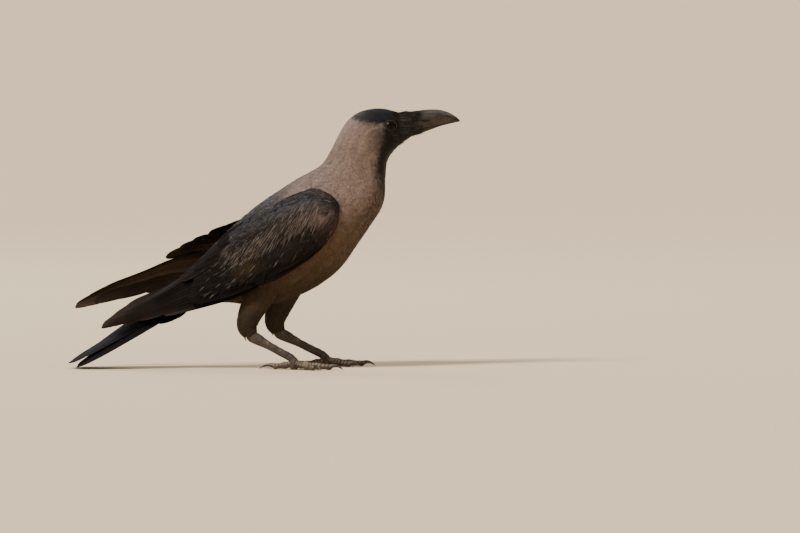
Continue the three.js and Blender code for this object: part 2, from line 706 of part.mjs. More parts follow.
function claw(side, number) {
  const { claw: length, radius } = TOES[number];
  const { along, curve } = toePath(side, number);
  const root = curve.getPoint(1).addScaledVector(curve.getTangent(1), GAP);
  const stations = [];
  for (let i = 0; i <= CLAW_STEPS; i++) {
    const t = i / CLAW_STEPS;
    const far = length * t;
    const arch = CLAW_ARCH * Math.sin(Math.PI * Math.min(t * 0.9 + 0.1, 1));
    const high = root.z + arch - (root.z - 0.5) * t ** 1.6 - 0.6 * (1 - t);
    const middle = root.clone().addScaledVector(along, far).setZ(i === 0 ? root.z : high);
    const size = radius * 0.74 * (1 - t) ** 0.8 + 0.28;
    const slope = point(along.x, along.y, lerp(0.5, -1.1, t)).normalize();
    stations.push({ middle, along: i === 0 ? curve.getTangent(1) : slope, deep: size, wide: size * 0.8 });
  }
  return limb(stations, 6).subtract(FLOOR);
}

// ---- The crow ----
const LOOKS = {
  hood: { color: 0x1c1a1d, roughness: 0.55 },
  collar: { color: 0x8a7a72, roughness: 0.75 },
  black: { color: 0x141318, roughness: 0.42 },
  bill: { color: 0x17151a, roughness: 0.35 },
  eye: { color: 0x120a06, roughness: 0.08 },
  scale: { color: 0x3a332b, roughness: 0.6 },
  claw: { color: 0x1a1714, roughness: 0.4 },
};
const crow = new THREE.Group();
crow.name = "crow";

function addNode(name, solid, look) {
  const material = new THREE.MeshStandardMaterial({ ...LOOKS[look], metalness: 0 });
  const mesh = new THREE.Mesh(geometryOf(solid), material);
  mesh.name = name;
  crow.add(mesh);
}

addNode("head", head(), "hood");
addNode("neck", trunk(NECK_FROM + CUT, NECK_TO - CUT), "collar");
addNode("torso", trunk(NECK_TO + CUT, LAST), "collar");

const bill = billHalves();
addNode("bill_upper", bill.upper, "bill");
addNode("bill_lower", bill.lower, "bill");

for (const [side, sign] of Object.entries(SIDES)) {
  addNode(`eye_${side}`, eyeball(sign), "eye");
  addNode(`wing_${side}`, wing(side), "black");
  addNode(`shank_${side}`, largest(shank(side).subtract(trunkClear)), "collar");
  addNode(`tarsus_${side}`, largest(tarsus(side).subtract(shank(side, GAP * 1.2))), "scale");
  addNode(`foot_${side}`, foot(side), "scale");
  TOES.forEach((_, number) => addNode(`claw_${side}_${number + 1}`, claw(side, number), "claw"));
}
addNode("tail", tail(), "black");

const reach = new THREE.Box3().setFromObject(crow);
crow.position.x = -(reach.min.x + reach.max.x) / 2;

export default crow;
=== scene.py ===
import math
import bmesh
import bpy
import numpy as np
from mathutils import Matrix, Vector, kdtree


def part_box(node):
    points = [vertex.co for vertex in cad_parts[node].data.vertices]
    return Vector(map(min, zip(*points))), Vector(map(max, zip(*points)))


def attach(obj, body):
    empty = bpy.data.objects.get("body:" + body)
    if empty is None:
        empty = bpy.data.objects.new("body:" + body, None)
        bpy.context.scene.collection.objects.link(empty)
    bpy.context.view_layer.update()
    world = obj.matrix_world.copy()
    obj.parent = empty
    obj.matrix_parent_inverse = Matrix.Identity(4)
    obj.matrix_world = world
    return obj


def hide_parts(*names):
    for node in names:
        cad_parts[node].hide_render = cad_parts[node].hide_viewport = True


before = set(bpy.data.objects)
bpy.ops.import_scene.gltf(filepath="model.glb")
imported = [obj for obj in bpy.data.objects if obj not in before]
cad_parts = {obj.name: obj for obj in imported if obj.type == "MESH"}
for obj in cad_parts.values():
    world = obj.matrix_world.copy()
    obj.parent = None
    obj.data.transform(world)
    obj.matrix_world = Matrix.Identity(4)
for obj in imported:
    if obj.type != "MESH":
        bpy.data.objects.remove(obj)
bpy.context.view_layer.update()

# ---------------------------------------------------------------------------------------------------
# The stage: a telephoto view of the bird's right side from just above its own height, a pale floor
# without an edge in sight, a large soft key light from behind the bird's shoulder, a fill and a rim.
MM = 0.001
BILL_TIP = 170.2  # every size of the bird is in millimetres from the same point as its bill's tip
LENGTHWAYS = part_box("bill_upper")[1][0] - BILL_TIP * MM
VIEW = {"middle": (117.6, 0, 89.3), "away": 7800, "elevation": 2.2, "lens": 400}
FLOOR_ACROSS = 120
FLOOR_COLOUR = (0.84, 0.69, 0.49, 1)
SKY = {"Color": (1, 0.905, 0.78, 1), "Strength": 0.52}
LIT_SPOT = (0, 0, 0.12)
# Each light's kind, place, size (an angle for a sun, metres for a panel), power and colour.
LIGHTS = {
    "key": ("SUN", (-1.5, -1.5, 2.3), math.radians(14), 4.0, (1, 0.94, 0.86)),
    "fill": ("AREA", (2.3, -2.4, 0.9), 2.2, 8, (1, 0.97, 0.92)),
    "rim": ("AREA", (-1.0, 2.0, 1.8), 1.2, 16, (1, 0.97, 0.93)),
}


def add_object(name, data):
    made = bpy.data.objects.new(name, data)
    bpy.context.scene.collection.objects.link(made)
    return made


def aim(thing, place, target):
    thing.location = place
    thing.rotation_euler = (Vector(target) - Vector(place)).to_track_quat("-Z", "Y").to_euler()


camera = add_object("camera", bpy.data.cameras.new("camera"))
camera.data.lens = VIEW["lens"]
camera.data.sensor_width = 36
camera.data.clip_end = 500
target = Vector(VIEW["middle"]) * MM + Vector((LENGTHWAYS, 0, 0))
tilt = math.radians(VIEW["elevation"])
aim(camera, target + Vector((0, -math.cos(tilt), math.sin(tilt))) * VIEW["away"] * MM, target)
bpy.context.scene.camera = camera

for name, (kind, place, size, power, colour) in LIGHTS.items():
    lamp = bpy.data.lights.new(name, kind)
    lamp.energy = power
    lamp.color = colour
    setattr(lamp, "angle" if kind == "SUN" else "size", size)
    aim(add_object(name, lamp), place, LIT_SPOT)

bpy.context.scene.world = bpy.data.worlds.new("studio")
bpy.context.scene.world.use_nodes = True
for socket, value in SKY.items():
    bpy.context.scene.world.node_tree.nodes["Background"].inputs[socket].default_value = value

bpy.ops.mesh.primitive_plane_add(size=FLOOR_ACROSS)
floor = bpy.context.object
floor.name = "floor"
paint = bpy.data.materials.new("floor_paint")
paint.use_nodes = True
paint.node_tree.nodes["Principled BSDF"].inputs["Base Color"].default_value = FLOOR_COLOUR
paint.node_tree.nodes["Principled BSDF"].inputs["Roughness"].default_value = 0.85
floor.data.materials.append(paint)

# ---------------------------------------------------------------------------------------------------
# The skin: one closed hide over head, neck, trunk and thighs, a coat's depth inside the plumage.
# It is lofted through sections of the bird, joined to its thighs by a fine remesh and smoothed.
# Each section: where it meets the back line (x, z) and the belly line (x, z), and its half width.
SECTIONS = np.array([
    (117, 224.6, 117, 195.4, 9.6),  # the bill's base
    (110, 226.4, 112.6, 191, 14.4),
    (103, 227.9, 109.1, 186.6, 17.6),  # brow
    (92.4, 227.7, 106.5, 181.3, 19.6),  # crown
    (81, 224.4, 105.6, 176, 20.4),
    (71.3, 216.9, 105.2, 169.8, 20.8),  # nape
    (63.4, 204.2, 104.7, 162.8, 21.6),
    (57.2, 191.8, 104.7, 155.8, 23.2),  # neck
    (49.3, 179.5, 103.8, 147.8, 26.2),
    (38.7, 172.5, 100.3, 138.2, 30.4),  # collar
    (27.3, 166.3, 93.3, 127.6, 34),  # breast
    (15, 158.4, 81.8, 110.9, 36),  # shoulders
    (1.8, 149.6, 66, 88.9, 36),  # keel
    (-11.4, 139.9, 48.4, 74.4, 34.6),  # belly
    (-24.6, 128.5, 29, 64.2, 31.6),
    (-37.8, 116.2, 7.9, 57.2, 27),  # loins
    (-49.3, 104.7, -13.2, 55.4, 22),  # rump
    (-59.8, 94.2, -30.8, 57.8, 17),  # vent
    (-69.5, 84.5, -48, 57, 12.8),
    (-79, 75.4, -66, 51.5, 8.4),  # the tail's root
])
LAST = len(SECTIONS) - 1
SIDES = {"right": -1, "left": 1}
LOW_WAIST = 0.12  # how far the widest level of a section lies below its middle
# Each leg's line through the thigh to the heel, and its half depth and half width along that line.
LEGS = {
    "right": {"shank": ((3, 17, 82), (-15.6, 22, 43), (-13, 22.5, 29.6)), "foot": (25, 28, 8.6)},
    "left": {"shank": ((22, 17, 80), (8, 21.5, 44), (10.6, 22, 30.4)), "foot": (52.5, 27, 8.6)},
}
SHANK_SIZES = ((15, 10), (9.5, 8.2), (5.9, 5.2))


def curve_at(points, share):
    """Places on the smooth curve through `points`, at shares 0 to 1 of the way by count, straight beyond."""
    p = np.asarray(points, float)
    p = np.vstack([2 * p[0] - p[1], p, 2 * p[-1] - p[-2]])
    s = np.asarray(share, float) * (len(p) - 3)
    i = np.clip(s.astype(int), 0, len(p) - 4)
    f = np.clip(s - i, 0, 1)[..., None]
    beyond = (s - i)[..., None] - f
    a, b, c, d = p[i], p[i + 1], p[i + 2], p[i + 3]
    straight = 2 * b + (c - a) * (f + beyond)
    bend = 2 * a - 5 * b + 4 * c - d
    twist = 3 * b - 3 * c + d - a
    return 0.5 * (straight + bend * (f + 2 * beyond) * f + twist * (f + 3 * beyond) * f**2)


def smooth(x, low, high):
    t = np.clip((np.asarray(x, float) - low) / (high - low), 0, 1)
    return t * t * (3 - 2 * t)


def stack(x, y, z):
    return np.stack(np.broadcast_arrays(x, y, z), -1)


def length_of(vectors):
    return np.linalg.norm(vectors, axis=-1)


def unit(vectors):
    return vectors / np.maximum(length_of(vectors), 1e-9)[..., None]


def trunk_at(number, angle, inset=0.0):
    """A place on the trunk by its section's number and the angle round from the back to the left."""
    bx, bz, lx, lz, wide = np.moveaxis(curve_at(SECTIONS, number / LAST), -1, 0)
    half = np.hypot(bx - lx, bz - lz) / 2
    up = np.cos(angle) / 2 * (1 - inset / half)
    side = (wide - inset) * np.sin(angle) * (1 - LOW_WAIST * np.cos(angle))
    return stack((bx + lx) / 2 + up * (bx - lx), side, (bz + lz) / 2 + up * (bz - lz))


def shank_at(side, share, angle, inset=0.0):
    """A place on a thigh, `share` of the way down it; the angle runs round from its front."""
    line = np.asarray(LEGS[side]["shank"], float) * (1, SIDES[side], 1)
    middle = curve_at(line, share)
    along = unit(curve_at(line, np.asarray(share) + 0.01) - curve_at(line, np.asarray(share) - 0.01))
    across = unit(np.cross(along, (1, 0, 0.001)))
    front = np.cross(across, along)
    deep, wide = (np.interp(share, (0, 0.5, 1), halves) - inset for halves in zip(*SHANK_SIZES))
    return middle + front * (np.cos(angle) * deep)[..., None] + across * (np.sin(angle) * wide)[..., None]


def coat_depth(number):
    """The plumage's depth over the skin, thin on the face and deeper on the neck and body."""
    return 0.8 + 1.4 * smooth(number, 1.5, 6)


def circle(count):
    """Angles all the way round, evenly spaced."""
    return np.linspace(0, math.tau, count, endpoint=False)


def evenly(count):
    """Shares from 0 to 1, evenly spaced."""
    return np.linspace(0, 1, count)


def in_frame(places):
    """Places in millimetres, as the frame has them in metres."""
    return np.asarray(places, float).reshape(-1, 3) * MM + (LENGTHWAYS, 0, 0)


def places_of(piece):
    """The corners of a piece in millimetres, in the sizes' own frame."""
    corners = np.empty(len(piece.data.vertices) * 3)
    piece.data.vertices.foreach_get("co", corners)
    return (corners.reshape(-1, 3) - (LENGTHWAYS, 0, 0)) / MM


def mark(mesh, **attributes):
    """Stores a number, a vector or a colour for each corner of a mesh, under each name."""
    for name, values in attributes.items():
        values = np.asarray(values, float)
        kinds = {1: ("FLOAT", "value"), 3: ("FLOAT_VECTOR", "vector"), 4: ("FLOAT_COLOR", "color")}
        kind, slot = kinds[values.shape[-1] if values.ndim > 1 else 1]
        mesh.attributes.new(name, kind, "POINT").data.foreach_set(slot, values.ravel())


def mesh_piece(name, verts, faces, uv=None, normals=None, **attributes):
    """A smooth mesh from arrays in millimetres; faces are rows of corner numbers, all of one count."""
    verts = in_frame(verts)
    faces = np.asarray(faces, np.int32)
    mesh = bpy.data.meshes.new(name)
    mesh.vertices.add(len(verts))
    mesh.vertices.foreach_set("co", verts.ravel())
    mesh.loops.add(faces.size)
    mesh.loops.foreach_set("vertex_index", faces.ravel())
    mesh.polygons.add(len(faces))
    mesh.polygons.foreach_set("loop_start", np.arange(len(faces), dtype=np.int32) * faces.shape[1])
    mesh.polygons.foreach_set("use_smooth", np.ones(len(faces), bool))
    if uv is not None:
        layer = mesh.uv_layers.new(name="OFBake")
        layer.data.foreach_set("uv", np.asarray(uv, float).reshape(-1, 2)[faces.ravel()].ravel())
    mark(mesh, **attributes)
    mesh.update(calc_edges=True)
    mesh.validate()
    if normals is not None:
        mesh.normals_split_custom_set_from_vertices(np.asarray(normals).reshape(-1, 3))
    return add_object(name, mesh)


def grid_faces(rows, columns, wrap=False, flip=False):
    """Quads over a grid of corners, row by row, closed round its columns when `wrap` is set."""
    r, c = np.meshgrid(np.arange(rows - 1), np.arange(columns if wrap else columns - 1), indexing="ij")
    a = (r * columns + c).ravel()
    b = (r * columns + (c + 1) % columns).ravel()
    faces = np.stack([a, b, b + columns, a + columns], 1)
    return faces[:, ::-1] if flip else faces


def closed_loft(name, rings):
    """A tube over rings of places, capped with triangles at each end, its faces turned outwards."""
    rings = np.asarray(rings, float)
    rows, columns = rings.shape[:2]
    ends = rings[[0, -1]].mean(1)
    verts = np.vstack([ends[0], rings.reshape(-1, 3), ends[1]])
    faces = (grid_faces(rows, columns, wrap=True) + 1).tolist()
    last = 1 + (rows - 1) * columns
    for c in range(columns):
        d = (c + 1) % columns
        faces += [(0, 1 + d, 1 + c), (len(verts) - 1, last + c, last + d)]
    mesh = bpy.data.meshes.new(name)
    mesh.from_pydata(in_frame(verts).tolist(), [], faces)
    soft = bmesh.new()
    soft.from_mesh(mesh)
    bmesh.ops.recalc_face_normals(soft, faces=soft.faces)
    soft.to_mesh(mesh)
    soft.free()
    mesh.shade_smooth()
    return add_object(name, mesh)


def join(pieces, name):
    with bpy.context.temp_override(active_object=pieces[0], selected_editable_objects=pieces):
        bpy.ops.object.join()
    pieces[0].name = pieces[0].data.name = name
    return pieces[0]


def modify(piece, kind, **settings):
    """Adds one modifier and applies it, so that only the finished mesh is left."""
    modifier = piece.modifiers.new(kind.lower(), kind)
    for key, value in settings.items():
        setattr(modifier, key, value)
    with bpy.context.temp_override(object=piece, active_object=piece):
        bpy.ops.object.modifier_apply(modifier=modifier.name)


def hand_over(piece, material, slot, *replaced):
    """Finishes a piece: its material, the body that it rides on and what it replaces; `slot` is not used."""
    piece.data.materials.append(material)
    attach(piece, "root")
    if replaced:
        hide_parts(*replaced)


hide = [closed_loft("trunk", [trunk_at(n, circle(72), coat_depth(n)) for n in np.linspace(0, LAST, 150)])]
for side in SIDES:
    hide.append(closed_loft("thigh", [shank_at(side, t, circle(40), 1.2) for t in evenly(24)]))
skin = join(hide, "skin")
modify(skin, "REMESH", mode="VOXEL", voxel_size=1.3 * MM)
modify(skin, "SMOOTH", factor=0.6, iterations=6)
skin.data.shade_smooth()

# The plumage's colours, from bill to tail, which skin and coat share.
BLACK = (0.0060, 0.0052, 0.0052)
LORES = (0.040, 0.031, 0.024)
# painted sheen: the black cap made lighter and bluer over its top
CROWN_SHEEN = (0.0125, 0.0140, 0.0190)
TAUPE = (0.188, 0.134, 0.112)
NAPE = (0.205, 0.156, 0.138)
# pale grey: the arc over the ear and the spot behind the eye, and a painted sheen down the hind neck
SILVER_MARKS_AND_SHEEN = (0.270, 0.225, 0.215)
EAR_OLIVE = (0.086, 0.064, 0.048)
CHEEK = (0.046, 0.031, 0.022)
THROAT_GREY = (0.100, 0.085, 0.075)
FLECK = (0.030, 0.022, 0.018)
BREAST = (0.100, 0.064, 0.042)
# the belly's own darker brown, deepened by painted shade on the bird's underside
BELLY = (0.046, 0.029, 0.016)
MANTLE = (0.036, 0.032, 0.034)
# painted glints: pale bluish flecks of the mantle's gloss
MANTLE_GLINT = (0.100, 0.102, 0.120)
RUMP = (0.020, 0.0165, 0.016)
THIGH = (0.031, 0.0225, 0.0145)
# The hood's rear edge: how far forward it lies at each height, from the throat to the hind crown.
HOOD_EDGE = np.array([
    (150, 105.5), (161.9, 102.2), (173.5, 98.6), (180.5, 98), (190, 100.2), (198, 102.4),
    (206, 103.6), (212, 103), (213.8, 100), (214.8, 90), (215.4, 84), (218.8, 78), (231, 65),
], float)


def ahead_of(line, x, z):
    """Distance in the bird's long plane from a line of (height, place along), more than 0 ahead of it."""
    spots = np.stack([z, x], -1)[..., None, :]
    start = line[:-1]
    step = line[1:] - start
    share = np.clip(((spots - start) * step).sum(-1) / (step**2).sum(-1), 0, 1)
    gap = length_of(spots - start - step * share[..., None]).min(-1)
    return gap * np.where(x > np.interp(z, line[:, 0], line[:, 1]), 1, -1)


def overlaid(base, *layers):
    """A colour with tints laid over it in turn, each as far as its share says."""
    colour = np.array(base)
    for share, tint in layers:
        colour = colour + (np.array(tint) - colour) * share[..., None]
    return colour


def plumage(places):
    """Colour and gloss of the plumage at places in millimetres."""
    rng = np.random.default_rng(3)
    x, y, z = np.moveaxis(np.asarray(places, float), -1, 0)
    ragged = rng.normal(0, 0.9, x.shape)
    chance = rng.uniform(0, 1, x.shape)
    hood = smooth(ahead_of(HOOD_EDGE, x, z) + 0.9 * ragged, -3.1, 2.6) * smooth(z, 146, 160)
    # painted sheen: a paler band down the hind neck's midline, where light grazes the feathers
    nape_sheen = (1 - smooth(np.abs(y), 4, 15)) * smooth(z, 190, 202) * (1 - smooth(x + ragged, 78, 86))
    throat = smooth(x + 0.2 * (z - 175) + ragged, 91, 97) * smooth(z, 138, 156) * (1 - smooth(z, 176, 188))
    flecks = smooth(x - 0.35 * (z - 150) + ragged, 84, 96) * smooth(z, 112, 128) * (1 - smooth(z, 150, 166))
    arc = 210.6 - 0.11 * (x - 94.5) ** 2 - z  # distance below the arc over the ear
    ear = smooth(x + 0.5 * ragged, 84, 90) * smooth(z, 181, 190) * (arc > -8)
    ear = ear * (0.4 + 0.6 * smooth(arc, -0.5, 1))
    cheek = smooth(x + ragged, 92, 101) * smooth(z, 184, 196) * (1 - smooth(z, 209, 213))
    rim = np.exp(-((arc / 0.75) ** 2)) * (1 - smooth(np.abs(x - 94.5), 5, 7))
    lines = 0.5 + 0.5 * np.sin(math.pi * (z + 0.05 * (x - 94.5) ** 2) + 0.2 * ragged)
    breast = 1 - smooth(z - 0.35 * x + ragged * 2, 84, 134)
    # darker towards the belly: partly its plumage, partly painted shade underneath
    belly = 1 - smooth(z - 0.15 * x + ragged * 2, 66, 96)
    back = (1 - smooth(x + 1.5 * ragged, 2, 28)) * smooth(z + 0.72 * x + ragged, 84, 104)
    rump = 1 - smooth(x + ragged, -30, 2)
    vent = 1 - smooth(x + ragged, -46, -22)
    thigh = 1 - smooth(z + ragged, 44, 60)
    lores = smooth(x + ragged, 107, 114) * smooth(z, 203, 210) * (1 - smooth(z, 216, 221))
    spot = np.exp(-(((x - 100.8) ** 2 + (z - 213.8) ** 2) / 1.3))
    nape = 1 - smooth(x - 0.62 * (z - 170) + 2 * ragged, 42, 70)
    colour = overlaid(
        # the hind neck's painted sheen, as a band and in flecks
        TAUPE, (nape, NAPE), (0.6 * nape_sheen, SILVER_MARKS_AND_SHEEN), (0.5 * nape_sheen * (chance < 0.3), SILVER_MARKS_AND_SHEEN),
        (breast, BREAST), (0.75 * flecks * (chance < 0.45), FLECK), (belly, BELLY),
        ((0.95 - 0.5 * lines) * ear, EAR_OLIVE), (0.4 * rim, SILVER_MARKS_AND_SHEEN), (0.8 * cheek, CHEEK),
        (0.9 * throat, THROAT_GREY), (0.8 * throat * (chance < 0.35), FLECK), (back, MANTLE),
        # bluish flecks on the mantle: painted glints
        (0.6 * back * (chance < 0.3), MANTLE_GLINT), (rump * smooth(z + ragged, 74, 88), RUMP),
        (vent, RUMP), (thigh, THIGH), (hood, BLACK), (hood * lores, LORES),
        # the cap's top: painted blue sheen
        (hood * smooth(z, 214, 222), CROWN_SHEEN), (0.8 * spot, SILVER_MARKS_AND_SHEEN),
    )
    return colour, np.clip(np.maximum(hood, 0.6 * back), 0, 1)


class Value:
    """A shader socket that can be worked with as a number."""

    def __init__(self, shader, socket):
        self.shader = shader
        self.socket = socket

    def maths(self, operation, *values):
        return self.shader.node("Math", {"operation": operation}, dict(enumerate((self, *values))))

    def __add__(self, other):
        return self.maths("ADD", other)

    def __sub__(self, other):
        return self.maths("SUBTRACT", other)

    def __rsub__(self, other):
        return self.shader.node("Math", {"operation": "SUBTRACT"}, {0: other, 1: self})

    def __mul__(self, other):
        return self.maths("MULTIPLY", other)

    __radd__ = __add__
    __rmul__ = __mul__


class Shader:
    """A material whose nodes are written as expressions."""

    def __init__(self, name, fixed):
        self.material = bpy.data.materials.new(name)
        self.material.use_nodes = True
        self.tree = self.material.node_tree
        self.skin = self.tree.nodes["Principled BSDF"]
        for socket, value in fixed.items():
            self.skin.inputs[socket].default_value = value

    def node(self, kind, settings=None, inputs=None, output=0):
        made = self.tree.nodes.new("ShaderNode" + kind)
        for key, value in (settings or {}).items():
            setattr(made, key, value)
        for key, value in (inputs or {}).items():
            self.feed(made.inputs[key], value)
        return Value(self, made.outputs[output])

    def feed(self, socket, value):
        if isinstance(value, Value):
            self.tree.links.new(value.socket, socket)
        elif isinstance(value, tuple) and len(value) == 3 and socket.type == "RGBA":
            socket.default_value = (*value, 1)
        else:
            socket.default_value = value

    def attribute(self, name, output=2):
        return self.node("Attribute", {"attribute_name": name}, output=output)

    def places(self):
        return self.node("TexCoord", output=3)

    def noise(self, scale, detail, stretch=None):
        vector = self.places()
        if stretch:
            vector = self.node("Mapping", inputs={"Vector": vector, "Scale": stretch})
        return self.node("TexNoise", inputs={"Vector": vector, "Scale": scale, "Detail": detail})

    def between(self, value, low, high, start=0.0, end=1.0):
        sockets = {"Value": value, "From Min": low, "From Max": high, "To Min": start, "To Max": end}
        return self.node("MapRange", inputs=sockets)

    def mix(self, share, first, second, blend="MIX"):
        sockets = {0: share, 6: first, 7: second}
        return self.node("Mix", {"data_type": "RGBA", "blend_type": blend}, sockets, output=2)

    def lit(self, light):
        """The colour that the piece's corners carry, made lighter or darker."""
        gray = self.node("CombineColor", inputs={0: light, 1: light, 2: light})
        return self.mix(1.0, self.attribute("plume", 0), gray, "MULTIPLY")

    def bump(self, height, strength, distance):
        return self.node("Bump", inputs={"Height": height, "Strength": strength, "Distance": distance * MM})

    def finish(self, colour, roughness=None, normal=None):
        for socket, value in (("Base Color", colour), ("Roughness", roughness), ("Normal", normal)):
            if value is not None:
                self.feed(self.skin.inputs[socket], value)
        return self.material


def plumage_material(name, spread, gloss=0.14):
    """Feathers: the markings' own colour, shaded from feather to feather and paler to the tips."""
    shader = Shader(name, {"Specular IOR Level": gloss, "Sheen Weight": gloss * 0.3, "Sheen Roughness": 0.4})
    shade = shader.attribute("shade")
    fine = shader.noise(900, 2)
    broad = shader.noise(60, 3)
    light = shader.between(shade + (fine - 0.5) * 0.5 + (broad - 0.5) * 0.7, -1, 1, 1 - spread, 1 + spread)
    colour = shader.lit(light)
    roughness = shader.between(shader.attribute("gloss"), 0, 1, 0.72, 0.4) + (fine - 0.5) * 0.14
    return shader.finish(colour, roughness, shader.bump(fine, 0.35, 0.2))


def solid(colours):
    """Colours with nothing let through, as attributes keep them."""
    return np.concatenate([colours, np.ones(colours.shape[:-1] + (1,))], -1)


def dress(piece, shade, colour=None):
    """Gives a piece the markings at its corners' places, or one colour in their stead."""
    colours, gloss = plumage(places_of(piece))
    if colour:
        colours = np.tile(colour, (len(gloss), 1))
    mark(piece.data, plume=solid(colours), gloss=gloss, shade=np.full(len(gloss), shade))


dress(skin, -0.1)
skin_down = plumage_material("skin_down", 0.3)
hand_over(skin, skin_down, "collar", "head", "neck", "torso", "shank_right", "shank_left")

# ---------------------------------------------------------------------------------------------------
# The coat: small contour feathers over the whole skin, each a tuft of tapered barbs that lies along
# the body from bill to tail and down the thighs, smallest on the face. Their roots lie in the skin
# and their tips at the bird's outline.
ROWS = np.array([0, 0.3, 0.7, 1])  # along a barb
BARB_WIDTH = np.array([0.7, 1, 0.75, 0.06])
BARB_ROUND = 0.4  # how far a barb's two edges turn to its sides, for its sheen
PATCH = 0.003  # a tuft's share of the unwrap


def frame_on(surface, u, v, facing):
    """Place and outward normal on a surface, and the two directions in which one step of u or v leads."""
    step = 1e-3
    place = surface(u, v)
    along = (surface(u + step, v) - surface(u - step, v)) / (2 * step)
    across = (surface(u, v + step) - surface(u, v - step)) / (2 * step)
    return place, unit(np.cross(along, across)) * facing, along, across


def scatter(surface, us, vs, spacing, seed, keep=None):
    """Scattered spots on a surface, never closer than about the spacing at the start and end of u."""
    rng = np.random.default_rng(seed)
    grid_u, grid_v = np.meshgrid(np.linspace(*us, 60), np.linspace(*vs, 60), indexing="ij")
    _, _, along, across = frame_on(surface, grid_u, grid_v, 1)
    cell = length_of(np.cross(along, across))
    area = (us[1] - us[0]) * (vs[1] - vs[0])
    tries = int(area * cell.max() / min(spacing) ** 2 * 4)
    u = rng.uniform(*us, tries)
    v = rng.uniform(*vs, tries)
    place, _, along, across = frame_on(surface, u, v, 1)
    apart = np.interp(u, us, spacing)
    size = length_of(np.cross(along, across)) / apart**2
    chosen = rng.uniform(0, size.max(), tries) < size
    if keep is not None:
        chosen &= keep(place)
    u, v, place, apart = u[chosen], v[chosen], place[chosen], apart[chosen]
    tree = kdtree.KDTree(len(place))
    for i, spot in enumerate(place):
        tree.insert(spot, i)
    tree.balance()
    free = np.ones(len(place), bool)
    kept = []
    for i in range(len(place)):
        if free[i]:
            kept.append(i)
            for _, j, _ in tree.find_range(place[i], apart[i] * 0.8):
                free[j] = False
    return u[kept], v[kept]


def streaks(u, v, pace, seed):
    """Soft streaks over a surface: random shades, blended between spots `pace` apart in u and v."""
    table = np.random.default_rng(seed).normal(0, 1, (97, 89))
    u, v = u / pace[0], v / pace[1]
    i, j = np.floor(u).astype(int), np.floor(v).astype(int)
    f, g = smooth(u - i, 0, 1), smooth(v - j, 0, 1)
    first, second = (
        table[(i + a) % 97, j % 89] * (1 - g) + table[(i + a) % 97, (j + 1) % 89] * g for a in (0, 1)
    )
    return first * (1 - f) + second * f


